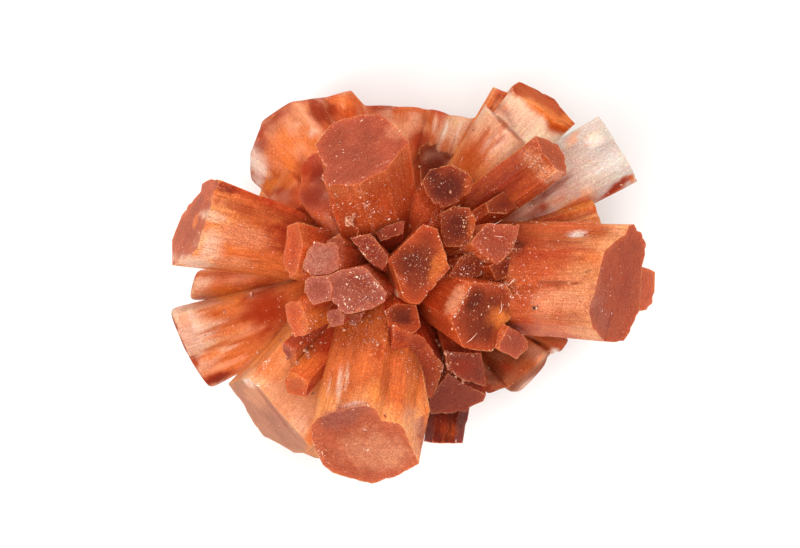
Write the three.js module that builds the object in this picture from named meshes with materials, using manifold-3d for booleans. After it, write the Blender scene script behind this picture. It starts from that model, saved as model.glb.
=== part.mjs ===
// An aragonite cluster: twinned, flat-ended, six-sided prisms of one mineral that grew outwards from a
// single centre until they met, so that the whole cluster is one solid.
//
// Frame: millimetres, +Z up. The cluster stands on the flat end of its foot crystal at Z = 0, with its
// crown of short crystals upwards, and the origin is at the middle of its outline on that plane.
//
// Every crystal is a straight prism from its root near the growth centre to its head, the flat end face.
// A head faces along an azimuth (degrees anticlockwise from +X) and a tilt (degrees down from +Z).

import * as THREE from "three";
import { mergeVertices } from "three/addons/utils/BufferGeometryUtils.js";
import Module from "manifold-3d";

const wasm = await Module();
wasm.setup();

// ---------------------------------------------------------------- driving dimensions, in mm

const GROWTH_CENTRE = new THREE.Vector3(-1.8, 0.9, 17);
const HEART_RADIUS = 6.2; // the solid middle that all the roots share
const LEDGE_HEIGHT = 0.28; // how far a side ledge stands off its prism face
const LEDGE_BITE = 0.6; // how deep a ledge is rooted in its crystal

// ---------------------------------------------------------------- the crystals

// Crystals whose heads look upwards. `seen` is the outline of the head from straight above, [x, y] in mm.
// `height` is the Z of the head at the middle of that outline.
const UPPER = [
  // The large crystals that ring the crown.
  { name: "north_west_spire", azimuth: 102, tilt: 39, height: 31.2, root: 0.72, ledges: 7,
    seen: [[-9.5, 13.5], [-8.6, 14.8], [-7.8, 15.8], [-6.1, 16.3], [-4.6, 16.6], [-3.0, 16.7], [-2.2, 15.9],
      [-1.2, 15.3], [-0.2, 13.7], [-1.7, 12.1], [-2.4, 11.0], [-4.3, 10.1], [-5.1, 9.6], [-8.5, 9.5],
      [-8.9, 10.4], [-8.4, 11.3], [-9.1, 12.4]] },
  { name: "west_spire", azimuth: 156, tilt: 70, height: 24.5, root: 0.4, ledges: 5,
    seen: [[-23.8, 1.5], [-23.9, 4.0], [-22.9, 6.5], [-22.1, 7.8], [-21.0, 9.0], [-20.9, 9.7], [-19.9, 10.2],
      [-19.0, 10.1], [-19.6, 8.8], [-20.0, 7.0], [-20.6, 5.3], [-21.1, 3.5], [-22.1, 2.3]] },
  { name: "east_spire", azimuth: -8, tilt: 60, height: 28, root: 0.85, ledges: 10,
    seen: [[21.7, 5.6], [22.2, 5.7], [22.6, 5.0], [22.9, 4.9], [23.4, 3.7], [23.3, 2.6], [23.0, 1.5],
      [22.8, -3.0], [22.3, -3.9], [22.0, -4.4], [21.7, -5.2], [21.2, -6.0], [20.4, -6.1], [19.2, -6.0],
      [18.6, -5.4], [18.0, -4.6], [17.6, -3.2], [17.7, -2.0], [18.2, -1.0], [18.3, -0.3], [18.6, 0.9],
      [19.0, 2.4], [19.2, 3.0], [20.3, 4.0], [21.3, 4.7]] },
  { name: "east_spire_lobe", azimuth: -8, tilt: 60, height: 22.5, root: 0.8, ledges: 0,
    seen: [[22.9, 1.5], [23.9, 1.2], [24.4, 0.9], [24.3, -1.2], [24.1, -2.2], [23.6, -2.9], [22.7, -3.0],
      [22.1, -1.9], [22.3, 0.1]] },
  { name: "south_spire", azimuth: 253, tilt: 45, height: 30.2, root: 0.75, ledges: 8,
    seen: [[-9.9, -15.6], [-9.9, -14.3], [-9.3, -13.6], [-8.2, -13.1], [-6.0, -12.5], [-4.7, -12.3],
      [-3.5, -12.6], [-2.9, -13.8], [-1.2, -14.1], [-0.7, -14.6], [0.8, -18.1], [-1.9, -19.6],
      [-3.9, -20.2], [-5.5, -19.8], [-7.8, -19.1], [-8.8, -18.3], [-9.5, -16.8]] },
  { name: "south_spire_flank", azimuth: -22, tilt: 62, height: 29, root: 0.6, ledges: 0,
    seen: [[-0.7, -14.6], [1.9, -12.9], [1.1, -16.4], [0.8, -18.1]] },
  { name: "south_west_spire", azimuth: 227, tilt: 74, height: 20, root: 0.85, ledges: 5,
    seen: [[-18.3, -10.3], [-16.7, -9.7], [-16.1, -9.7], [-14.8, -10.9], [-13.1, -13.1], [-10.7, -15.7],
      [-9.9, -16.7], [-10.7, -17.2], [-11.7, -17.2], [-13.1, -16.4], [-14.8, -15.6], [-15.7, -14.4],
      [-16.7, -12.6], [-17.9, -10.9]] },
  { name: "north_east_window", azimuth: 56, tilt: 76, height: 12.5, root: 0.6, ledges: 3,
    seen: [[10.1, 19.5], [10.9, 20.1], [12.8, 19.2], [14.5, 18.3], [15.4, 17.1], [16.5, 15.8], [15.9, 15.3],
      [14.5, 16.0], [13.4, 17.1], [11.9, 18.0], [10.4, 18.8]] },
  { name: "north_east_prism", azimuth: 37, tilt: 66, height: 25, root: 0.75, ledges: 6,
    seen: [[12.4, 14.5], [13.6, 14.1], [14.7, 13.6], [15.3, 12.6], [15.6, 10.7], [14.5, 10.9], [13.7, 12.1],
      [13.1, 12.7], [12.6, 13.8]] },
  { name: "south_east_end", azimuth: -46, tilt: 76, height: 16, root: 0.8, ledges: 3,
    seen: [[9.7, -10.8], [10.1, -11.3], [11.0, -11.3], [12.3, -10.0], [13.6, -8.5], [14.0, -7.2],
      [13.6, -7.0], [12.7, -8.3], [11.0, -9.6], [9.9, -10.7]] },
  // The crown.
  { name: "crown_keystone", azimuth: 30, tilt: 9, height: 32.2, root: 0.7, ledges: 0,
    seen: [[-2.2, 2.2], [1.2, 5.6], [2.6, 5.2], [3.2, 3.4], [3.9, 1.3], [0.8, -2.3], [-0.1, -2.2],
      [-0.8, -1.6], [-1.6, 0.9]] },
  { name: "crown_west_table", azimuth: 215, tilt: 16, height: 31.4, root: 0.7, ledges: 0,
    seen: [[-8.2, 0.6], [-7.1, 1.1], [-4.9, 1.5], [-4.3, 1.1], [-3.3, -0.1], [-2.4, -1.2], [-2.7, -2.1],
      [-3.9, -2.8], [-6.6, -3.4], [-7.7, -2.2], [-8.0, -1.8], [-8.3, -0.4]] },
  { name: "crown_west_twin", azimuth: 200, tilt: 20, height: 30.6, root: 0.7, ledges: 0,
    seen: [[-10.5, 0.0], [-10.1, 0.4], [-8.3, 0.6], [-7.8, -0.6], [-8.0, -1.9], [-9.7, -2.4], [-10.6, -1.1]] },
  { name: "crown_west_block", azimuth: 170, tilt: 20, height: 30.2, root: 0.75, ledges: 0,
    seen: [[-9.7, 3.9], [-8.3, 3.8], [-7.7, 3.9], [-7.2, 3.4], [-7.2, 1.2], [-8.1, 0.7], [-9.8, 0.5],
      [-10.8, 1.3], [-10.3, 2.9]] },
  { name: "crown_slanted_blade", azimuth: 138, tilt: 14, height: 30.6, root: 0.7, ledges: 0,
    seen: [[-6.1, 4.3], [-5.3, 4.5], [-4.1, 4.7], [-3.6, 4.3], [-2.9, 3.3], [-2.3, 2.5], [-2.4, 1.5],
      [-2.9, 1.1], [-3.8, 1.5], [-4.6, 2.4], [-5.4, 3.4]] },
  { name: "crown_north_scale", azimuth: 110, tilt: 24, height: 28, root: 0.7, ledges: 0,
    seen: [[-3.6, 4.8], [-2.5, 5.5], [-0.6, 6.1], [-0.8, 4.7], [-2.2, 4.2], [-3.0, 4.0]] },
  { name: "crown_west_leaner", azimuth: 135, tilt: 38, height: 28.3, root: 0.8, ledges: 0,
    seen: [[-8.4, 3.9], [-7.2, 4.7], [-6.6, 3.9], [-6.8, 3.0], [-7.4, 2.9]] },
  { name: "crown_south_button", azimuth: 281, tilt: 18, height: 29.4, root: 0.75, ledges: 0,
    seen: [[-2.6, -3.0], [-1.5, -2.2], [0.5, -2.4], [1.0, -4.5], [0.3, -5.2], [-1.1, -5.0], [-2.3, -4.5]] },
  { name: "crown_east_hexagon", azimuth: -26, tilt: 36, height: 29.6, root: 0.6, ledges: 2,
    seen: [[6.0, -0.2], [9.4, -0.4], [10.0, -1.1], [10.3, -2.7], [10.2, -3.4], [9.4, -4.2], [8.6, -6.2],
      [8.0, -7.0], [6.7, -6.9], [5.3, -6.7], [5.0, -6.2], [3.9, -3.8]] },
  { name: "crown_east_button", azimuth: 4, tilt: 26, height: 28.2, root: 0.75, ledges: 0,
    seen: [[4.9, 2.4], [5.9, 2.9], [6.7, 2.7], [7.5, 2.0], [7.1, 0.7], [6.5, 0.3], [4.1, 0.2], [3.8, 0.5]] },
  { name: "crown_north_east_hexagon", azimuth: 35, tilt: 24, height: 29, root: 0.7, ledges: 0,
    seen: [[2.9, 6.7], [4.2, 7.4], [5.8, 7.3], [6.6, 6.0], [5.8, 3.8], [5.1, 3.4], [3.5, 3.4], [3.0, 4.3]] },
  { name: "crown_north_hexagon", azimuth: 57, tilt: 34, height: 26.8, root: 0.75, ledges: 0,
    seen: [[1.1, 9.9], [1.9, 11.1], [3.9, 11.6], [5.6, 10.9], [6.3, 10.0], [5.9, 8.8], [4.6, 7.8],
      [3.4, 7.3], [2.3, 7.8], [1.6, 8.6]] },
  { name: "crown_east_plate", azimuth: 20, tilt: 34, height: 27.6, root: 0.75, ledges: 0,
    seen: [[5.9, 3.8], [7.6, 5.8], [10.8, 5.6], [10.6, 4.5], [10.1, 3.0], [8.6, 1.6], [7.3, 2.5]] },
  { name: "crown_east_chip", azimuth: 8, tilt: 40, height: 27.4, root: 0.75, ledges: 0,
    seen: [[7.8, 1.5], [9.3, 2.5], [10.3, 2.1], [10.4, 1.4], [9.7, 0.4], [8.5, 0.0]] },
  { name: "crown_east_bead", azimuth: -6, tilt: 44, height: 27.2, root: 0.75, ledges: 0,
    seen: [[9.9, -0.2], [11.0, 0.8], [11.5, 0.0], [11.4, -1.0], [10.4, -2.0]] },
  { name: "crown_north_east_chip", azimuth: 30, tilt: 45, height: 24.8, root: 0.75, ledges: 0,
    seen: [[7.5, 7.8], [9.2, 8.9], [10.7, 7.3], [9.4, 6.7], [7.7, 6.8]] },
  { name: "crown_south_east_cube", azimuth: -35, tilt: 46, height: 27.4, root: 0.75, ledges: 0,
    seen: [[9.7, -4.5], [11.0, -5.2], [11.6, -6.0], [11.6, -6.7], [10.5, -7.8], [8.7, -6.8], [9.1, -5.6]] },
  { name: "crown_south_west_block", azimuth: 200, tilt: 48, height: 27.4, root: 0.8, ledges: 0,
    seen: [[-12.6, -2.4], [-12.1, -2.0], [-11.5, -1.9], [-11.0, -2.1], [-10.2, -4.3], [-10.5, -5.4],
      [-11.6, -5.6], [-12.3, -4.0]] },
  { name: "crown_south_west_cube", azimuth: 225, tilt: 30, height: 29, root: 0.75, ledges: 0,
    seen: [[-8.4, -2.9], [-7.3, -2.7], [-6.6, -3.5], [-6.8, -4.3], [-7.8, -4.6], [-8.3, -3.9]] },
  { name: "crown_south_scale", azimuth: 250, tilt: 32, height: 27.8, root: 0.75, ledges: 0,
    seen: [[-6.5, -3.5], [-4.5, -3.0], [-5.3, -4.5], [-6.1, -4.4]] },
  { name: "crown_far_west_plate", azimuth: 168, tilt: 42, height: 26.8, root: 0.8, ledges: 0,
    seen: [[-12.4, 5.5], [-11.3, 5.9], [-10.7, 3.7], [-11.1, 2.0], [-11.4, 0.6], [-12.1, 0.3], [-12.8, 1.9],
      [-12.4, 4.3]] },
  { name: "south_knob", azimuth: 228, tilt: 40, height: 25.6, root: 0.8, ledges: 0,
    seen: [[-12.7, -10.2], [-12.2, -9.0], [-11.3, -9.3], [-10.2, -10.1], [-10.5, -11.6], [-12.3, -11.2]] },
  { name: "south_shoulder", azimuth: -62, tilt: 44, height: 25.4, root: 0.9, ledges: 0,
    seen: [[-1.8, -4.3], [1.3, -5.6], [3.3, -8.5], [2.2, -11.8], [1.1, -11.8], [0.2, -9.4], [-2.0, -7.4]] },
  { name: "south_brow", azimuth: -68, tilt: 50, height: 20.6, root: 0.9, ledges: 3,
    from: [3.4, -3.0, 14],
    seen: [[2.3, -11.1], [3.7, -9.2], [5.0, -10.1], [7.5, -11.4], [7.2, -12.0], [6.1, -12.5], [5.5, -13.1],
      [2.0, -13.3], [1.6, -12.2]] },
  { name: "south_brow_step", azimuth: -40, tilt: 40, height: 23.4, root: 0.9, ledges: 0,
    from: [3.4, -3.0, 14],
    seen: [[3.3, -7.0], [7.0, -7.2], [7.6, -10.6], [5.2, -9.9], [3.6, -8.8]] },
  { name: "south_knob_step", azimuth: 215, tilt: 50, height: 24.4, root: 0.8, ledges: 0,
    seen: [[-12.8, -6.1], [-11.6, -6.8], [-11.4, -8.5], [-12.3, -8.6], [-12.8, -7.4]] },
  { name: "crown_shaded_wedge", azimuth: 125, tilt: 38, height: 22.8, root: 0.85, ledges: 2,
    seen: [[-11.3, 11.3], [-10.5, 12.6], [-9.5, 13.3], [-8.2, 12.0], [-7.6, 8.5], [-8.6, 6.4],
      [-10.6, 6.9], [-11.6, 8.9], [-10.9, 10.1]] },
  { name: "north_west_shoulder", azimuth: 138, tilt: 56, height: 18, root: 0.8, ledges: 3,
    seen: [[-16.0, 10.2], [-14.2, 11.8], [-12.0, 11.0], [-10.6, 8.2], [-12.4, 7.0], [-14.6, 8.4]] },
  { name: "crown_north_root", azimuth: 80, tilt: 58, height: 18.5, root: 0.9, ledges: 0,
    seen: [[1.2, 7.6], [1.0, 13.6], [3.2, 14.2], [5.6, 13.2], [6.6, 11.0], [6.6, 9.0], [4.0, 7.0]] },
];

// Crystals that lie on their side or look downwards. `at` is the middle of the head, `across` its width
// along the horizontal and `deep` its other width, and `turn` spins the cross-section on its axis.
const LOWER = [
  // Round the waist: `rim` is the edge of the head that shows from above, [x, y] to [x, y].
  { name: "west_fan", tilt: 93, height: 17,
    rim: [[-24.35, -2.8], [-22.3, -7.9]], deep: 8.6, root: 0.55, ledges: 5 },
  { name: "west_fan_lower", tilt: 93, height: 15.6,
    rim: [[-22.6, -7.3], [-20.2, -10.9]], deep: 8, root: 0.6, ledges: 3 },
  { name: "west_fan_back", tilt: 97, height: 13.4,
    rim: [[-21.6, 1.3], [-22.5, -1.9]], deep: 6.4, root: 0.8, ledges: 4 },
  { name: "north_west_fan_foot", tilt: 92, height: 13,
    rim: [[-16.2, 10.0], [-16.2, 13.0]], deep: 6.4, root: 0.7, ledges: 2 },
  { name: "north_west_fan", tilt: 92, height: 12.8,
    rim: [[-16.3, 12.6], [-14.8, 16.3]], deep: 7.6, root: 0.7, ledges: 4 },
  { name: "north_west_fan_top", tilt: 92, height: 12.2,
    rim: [[-15.3, 15.9], [-11.8, 18.3]], deep: 8, root: 0.7, ledges: 4 },
  { name: "north_fan", tilt: 92, height: 11.8,
    rim: [[-12.2, 18.0], [-8.4, 18.6]], deep: 7.4, root: 0.7, ledges: 4 },
  { name: "north_fan_peak", tilt: 92, height: 11.4,
    rim: [[-8.7, 18.5], [-5.8, 19.3]], deep: 7, root: 0.7, ledges: 3 },
  { name: "north_fan_end", tilt: 92, height: 11,
    rim: [[-6.0, 19.2], [-4.7, 17.8]], deep: 6, root: 0.7, ledges: 2 },
  { name: "north_fan_step", tilt: 97, height: 10.5,
    rim: [[-5.0, 17.8], [-1.2, 17.8]], deep: 6.4, root: 0.7, ledges: 2 },
  { name: "north_ridge", tilt: 98, height: 10.8,
    rim: [[-1.7, 17.8], [1.9, 17.55]], deep: 7, root: 0.7, ledges: 4 },
  { name: "north_ridge_step", tilt: 97, height: 10.2,
    rim: [[1.7, 17.6], [4.0, 16.9]], deep: 6, root: 0.7, ledges: 2 },
  { name: "north_ridge_end", tilt: 97, height: 11,
    rim: [[3.8, 17.0], [6.7, 16.3]], deep: 6.4, root: 0.8, ledges: 3 },
  { name: "north_east_ridge", tilt: 88, height: 15,
    rim: [[7.5, 17.7], [9.5, 15.9]], deep: 6.6, root: 0.7, ledges: 3 },
  { name: "north_east_ridge_end", tilt: 88, height: 15.6,
    rim: [[9.1, 16.3], [11.6, 13.8]], deep: 6.6, root: 0.7, ledges: 4 },
  { name: "north_east_nub", azimuth: 66, tilt: 94, height: 12,
    rim: [[8.2, 18.9], [10.3, 19.3]], deep: 4.6, root: 0.7, ledges: 0 },
  { name: "east_window", tilt: 94, height: 15,
    rim: [[18.9, 16.6], [22.8, 10.05]], deep: 7.2, root: 0.75, ledges: 4 },
  { name: "east_window_step", azimuth: 18, tilt: 94, height: 17,
    rim: [[18.9, 8.2], [18.5, 5.2]], deep: 6.4, root: 0.95, ledges: 3 },
  { name: "south_foot_prism", tilt: 94, height: 15,
    rim: [[5.2, -16.3], [1.3, -16.2]], deep: 5.4, root: 1, ledges: 2,
    from: [5.0, -4.0, 13] },
  { name: "south_east_wedge", tilt: 97, height: 15,
    rim: [[9.9, -10.6], [7.6, -11.5]], deep: 5, root: 0.9, ledges: 2 },
  { name: "east_heel", tilt: 97, height: 14,
    rim: [[16.0, -5.9], [15.0, -7.3]], deep: 5.4, root: 0.9, ledges: 2 },
  { name: "east_heel_step", azimuth: -45, tilt: 97, height: 13.4,
    rim: [[15.1, -7.2], [14.0, -7.1]], deep: 5, root: 0.9, ledges: 2 },
  { name: "south_west_sill", azimuth: 246, tilt: 97, height: 12.6,
    rim: [[-11.8, -17.2], [-9.0, -17.8]], deep: 6, root: 0.7, ledges: 3 },
  // Under the waist: `at` is the middle of the head, `wide` its width along the horizontal.
  { name: "foot", azimuth: 270, tilt: 180,
    at: [-0.6, -0.4, 0], wide: 13, deep: 11.6, turn: 12, root: 0.8, ledges: 6 },
  { name: "under_north_east", azimuth: 38, tilt: 128,
    at: [9.5, 9.2, 4.6], wide: 7.6, deep: 7, turn: 20, root: 0.6, ledges: 4 },
  { name: "under_north", azimuth: 96, tilt: 130,
    at: [-3.4, 12.6, 4.4], wide: 8, deep: 7.2, turn: 5, root: 0.6, ledges: 4 },
  { name: "under_north_west", azimuth: 146, tilt: 124,
    at: [-13.2, 8.8, 5.2], wide: 8.2, deep: 7.2, turn: 30, root: 0.6, ledges: 4 },
  { name: "under_west", azimuth: 190, tilt: 126,
    at: [-15.6, -2.2, 5], wide: 7.4, deep: 7.6, turn: 0, root: 0.6, ledges: 4 },
  { name: "under_south_west", azimuth: 232, tilt: 132,
    at: [-9.2, -10.4, 4.4], wide: 8, deep: 7, turn: 15, root: 0.6, ledges: 4 },
  { name: "under_south", azimuth: 285, tilt: 124,
    at: [1.8, -11.6, 5.2], wide: 6.8, deep: 7, turn: 10, root: 0.6, ledges: 3 },
  { name: "under_south_east", azimuth: 330, tilt: 126,
    at: [10.4, -5, 5], wide: 7.2, deep: 6.6, turn: 22, root: 0.6, ledges: 4 },
  { name: "under_east", azimuth: 4, tilt: 116,
    at: [14.8, 1.6, 8], wide: 8, deep: 7.4, turn: 0, root: 0.6, ledges: 4 },
];

// ---------------------------------------------------------------- helpers

// A repeatable number from 0 to 1 for a pair of whole numbers.
function chance(seed, draw) {
  const wave = Math.sin(seed * 12.9898 + draw * 78.233) * 43758.5453;
  return wave - Math.floor(wave);
}

// The directions across and up a head that faces along an azimuth and a tilt, and the way it faces.
function headAxes(azimuth, tilt) {
  const a = THREE.MathUtils.degToRad(azimuth);
  const t = THREE.MathUtils.degToRad(tilt);
  const facing = new THREE.Vector3(Math.sin(t) * Math.cos(a), Math.sin(t) * Math.sin(a), Math.cos(t));
  const across = new THREE.Vector3(-Math.sin(a), Math.cos(a), 0);
  const up = new THREE.Vector3().crossVectors(facing, across);
  return { facing, across, up };
}

// The outline from straight above, laid onto the plane of the head: [u, v] round the outline's middle.
function seenToSection(seen, axes) {
  const middle = outlineMiddle(seen);
  const outwards = new THREE.Vector2(axes.across.y, -axes.across.x);
  return seen.map(([x, y]) => {
    const dx = x - middle[0];
    const dy = y - middle[1];
    const alongAcross = dx * axes.across.x + dy * axes.across.y;
    const alongOutwards = dx * outwards.x + dy * outwards.y;
    return [alongAcross, -alongOutwards / axes.facing.z];
  });
}

function outlineMiddle(outline) {
  const xs = outline.map((p) => p[0]);
  const ys = outline.map((p) => p[1]);
  return [(Math.min(...xs) + Math.max(...xs)) / 2, (Math.min(...ys) + Math.max(...ys)) / 2];
}

// The cross-section of a twinned prism: a six-sided outline, uneven, with a notch beside some corners.
function twinSection(wide, deep, turn, seed) {
  const corners = [];
  for (let k = 0; k < 6; k++) {
    const angle = THREE.MathUtils.degToRad(turn + k * 60 + (chance(seed, k) - 0.5) * 16);
    const reach = 0.94 + 0.12 * chance(seed, k + 10);
    corners.push([Math.cos(angle) * reach * wide / 2, Math.sin(angle) * reach * deep / 2]);
    if (chance(seed, k + 20) < 0.45) {
      const notch = THREE.MathUtils.degToRad(turn + k * 60 + 20 + 20 * chance(seed, k + 30));
      const depth = 0.8 - 0.06 * chance(seed, k + 40);
      corners.push([Math.cos(notch) * depth * wide / 2, Math.sin(notch) * depth * deep / 2]);
    }
  }
  return corners;
}

// The same for a crystal of the waist, whose full width is at its rim.
function rimSection(wide, deep, seed) {
  const lift = (k) => 0.16 * (chance(seed, k) - 0.5);
  return [
    [0.5, -0.2 + lift(0)], [0.5, 0.25 + lift(1)], [0.3 + lift(2), 0.46 + lift(3) / 3],
    [0.05 + lift(4), 0.42], [-0.08 + lift(4), 0.5], [-0.32 + lift(5), 0.46],
    [-0.5, 0.22 + lift(6)], [-0.5, -0.18 + lift(7)], [-0.3 + lift(8), -0.5], [0.28 + lift(9), -0.48],
  ].map(([u, v]) => [u * wide, v * deep]);
}

// A closed prism between a root and a head of the same outline, as a manifold-3d solid.
// `from` and `to` say how far down the crystal it runs: 0 is the head and 1 the root.
function prism(section, head, axes, root, rootShare, from = 0, to = 1) {
  const shape = new THREE.Shape(section.map(([u, v]) => new THREE.Vector2(u, v)));
  const geometry = new THREE.ExtrudeGeometry(shape, { depth: 1, steps: 1, bevelEnabled: false });
  const position = geometry.getAttribute("position");
  const point = new THREE.Vector3();
  for (let i = 0; i < position.count; i++) {
    const down = to + (from - to) * position.getZ(i);
    const share = 1 + (rootShare - 1) * down;
    point.copy(head).lerp(root, down);
    point.addScaledVector(axes.across, position.getX(i) * share);
    point.addScaledVector(axes.up, position.getY(i) * share);
    position.setXYZ(i, point.x, point.y, point.z);
  }
  return solidFrom(geometry);
}

function solidFrom(geometry) {
  const bare = geometry.index ? geometry.toNonIndexed() : geometry;
  bare.deleteAttribute("normal");
  bare.deleteAttribute("uv");
  const merged = mergeVertices(bare, 1e-4);
  return new wasm.Manifold(
    new wasm.Mesh({
      numProp: 3,
      vertProperties: new Float32Array(merged.getAttribute("position").array),
      triVerts: new Uint32Array(merged.index.array),
    }),
  );
}

// Thin slabs of later growth that stand off the prism faces and stop short of the head.
function ledges(section, head, axes, root, rootShare, count, seed) {
  const slabs = [];
  for (let k = 0; k < count; k++) {
    const edge = Math.floor(chance(seed, k + 50) * section.length);
    const [ax, ay] = section[edge];
    const [bx, by] = section[(edge + 1) % section.length];
    const run = Math.hypot(bx - ax, by - ay);
    if (run < 0.9) continue;
    const begin = 0.1 + 0.4 * chance(seed, k + 60);
    const end = Math.min(0.92, begin + 0.25 + 0.4 * chance(seed, k + 70));
    const out = [(by - ay) / run, (ax - bx) / run];
    const turned = THREE.ShapeUtils.area(section.map(([u, v]) => new THREE.Vector2(u, v))) > 0 ? 1 : -1;
    const stand = turned * LEDGE_HEIGHT * (0.5 + 0.9 * chance(seed, k + 80));
    const bite = -turned * LEDGE_BITE;
    const at = (share, off) => [
      ax + (bx - ax) * share + out[0] * off,
      ay + (by - ay) * share + out[1] * off,
    ];
    const slab = [at(begin, bite), at(begin, stand), at(end, stand), at(end, bite)];
    const stop = 0.04 + 0.3 * chance(seed, k + 90);
    slabs.push(prism(slab, head, axes, root, rootShare, stop, 0.9));
  }
  return slabs;
}

// Where the head of a crystal is, which way it faces and the outline of its cross-section.
function headOf(spec, seed) {
  if (spec.seen) {
    const axes = headAxes(spec.azimuth, spec.tilt);
    const head = new THREE.Vector3(...outlineMiddle(spec.seen), spec.height);
    return { axes, head, section: seenToSection(spec.seen, axes) };
  }
  if (spec.rim) {
    const [[ax, ay], [bx, by]] = spec.rim;
    const middle = new THREE.Vector2((ax + bx) / 2, (ay + by) / 2);
    let azimuth = THREE.MathUtils.radToDeg(Math.atan2(ax - bx, by - ay));
    if (Math.cos(THREE.MathUtils.degToRad(azimuth)) * middle.x +
      Math.sin(THREE.MathUtils.degToRad(azimuth)) * middle.y < 0) azimuth += 180;
    const axes = headAxes(spec.azimuth ?? azimuth, spec.tilt);
    const overhang = Math.abs(axes.facing.z) * spec.deep / 2;
    const outwards = new THREE.Vector2(axes.across.y, -axes.across.x);
    const inset = outwards.clone().multiplyScalar(-overhang).add(middle);
    const head = new THREE.Vector3(inset.x, inset.y, spec.height);
    return { axes, head, section: rimSection(Math.hypot(bx - ax, by - ay), spec.deep, seed) };
  }
  const axes = headAxes(spec.azimuth, spec.tilt);
  const head = new THREE.Vector3(...spec.at);
  return { axes, head, section: twinSection(spec.wide, spec.deep, spec.turn, seed) };
}

// One crystal with its ledges: a list of solids that overlap one another.
function crystal(spec, seed) {
  const { axes, head, section } = headOf(spec, seed);
  const root = spec.from ? new THREE.Vector3(...spec.from) : GROWTH_CENTRE;
  return [
    prism(section, head, axes, root, spec.root),
    ...ledges(section, head, axes, root, spec.root, spec.ledges, seed),
  ];
}

// The middle of the cluster, where the roots have grown into each other.
function heart() {
  const ball = new THREE.IcosahedronGeometry(HEART_RADIUS, 1);
  ball.translate(...GROWTH_CENTRE.toArray());
  return solidFrom(ball);
}

// ---------------------------------------------------------------- the cluster

const solids = [heart()];
[...UPPER, ...LOWER].forEach((spec, index) => solids.push(...crystal(spec, index + 1)));
// Pockets with no way out between the crystals have grown full: only the outermost skin is kept.
const skins = wasm.Manifold.union(solids).decompose();
const skin = skins.reduce((best, next) => (next.volume() > best.volume() ? next : best));
const reach = skin.boundingBox();
const cluster = skin.translate(-(reach.min[0] + reach.max[0]) / 2, -(reach.min[1] + reach.max[1]) / 2, 0);

const made = cluster.getMesh();
const surface = new THREE.BufferGeometry();
surface.setAttribute("position", new THREE.BufferAttribute(new Float32Array(made.vertProperties), 3));
surface.setIndex(new THREE.BufferAttribute(new Uint32Array(made.triVerts), 1));
surface.computeVertexNormals();

const ARAGONITE = new THREE.MeshStandardMaterial({ color: "#b9572f", roughness: 0.45, metalness: 0 });
const aragonite = new THREE.Mesh(surface, ARAGONITE);
aragonite.name = "crystal_cluster";

const part = new THREE.Group();
part.add(aragonite);

export default part;
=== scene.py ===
# %% [markdown]
# # A cluster of aragonite crystals
# Aragonite is a form of calcium carbonate. Iron colours this kind rust-orange, and its crystals
# grow as twins: three prisms share one axis and look like a single six-sided post with a flat end.
# Dozens of these posts grow outwards from one point until they meet, which gives the prickly ball
# that this lesson builds. We make every post as a surface of its own, join them into one skin, and
# then paint the skin by where each point lies on its post: deep rust at the root, pale at the tip.

import bpy
import numpy as np
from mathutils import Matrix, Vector


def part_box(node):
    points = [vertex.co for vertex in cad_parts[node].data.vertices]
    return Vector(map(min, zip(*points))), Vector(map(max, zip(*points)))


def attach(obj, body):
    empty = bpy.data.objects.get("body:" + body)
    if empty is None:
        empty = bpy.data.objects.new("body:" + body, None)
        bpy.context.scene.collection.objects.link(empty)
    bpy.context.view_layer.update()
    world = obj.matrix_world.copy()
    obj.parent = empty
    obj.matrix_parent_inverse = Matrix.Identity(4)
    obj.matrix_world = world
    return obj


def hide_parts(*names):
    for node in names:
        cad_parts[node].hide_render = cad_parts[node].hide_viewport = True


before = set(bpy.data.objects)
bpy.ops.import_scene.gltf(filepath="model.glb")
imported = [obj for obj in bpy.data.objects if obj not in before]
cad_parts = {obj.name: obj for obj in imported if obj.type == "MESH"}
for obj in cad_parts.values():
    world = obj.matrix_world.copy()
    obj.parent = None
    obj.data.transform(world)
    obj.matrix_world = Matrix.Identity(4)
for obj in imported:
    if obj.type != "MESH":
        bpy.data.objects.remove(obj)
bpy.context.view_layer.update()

NODE = "crystal_cluster"
print("frame nodes:", sorted(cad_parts))

# %% [markdown]
# ## The crystals
# The table says where each post ends and which way its end faces: an azimuth in degrees
# anticlockwise from +X, and a tilt in degrees down from +Z. Three ways of giving the end are
# enough. `seen` is its outline from straight above, for posts that look upwards. `rim` is the one
# edge of it that shows from above, for posts that lie on their side. `at`, `wide` and `deep` give
# the size and place of the ones underneath. All lengths are millimetres, and `root` is how wide the
# post is at the growth centre against its width at the end. `skin` names its colours.

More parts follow.
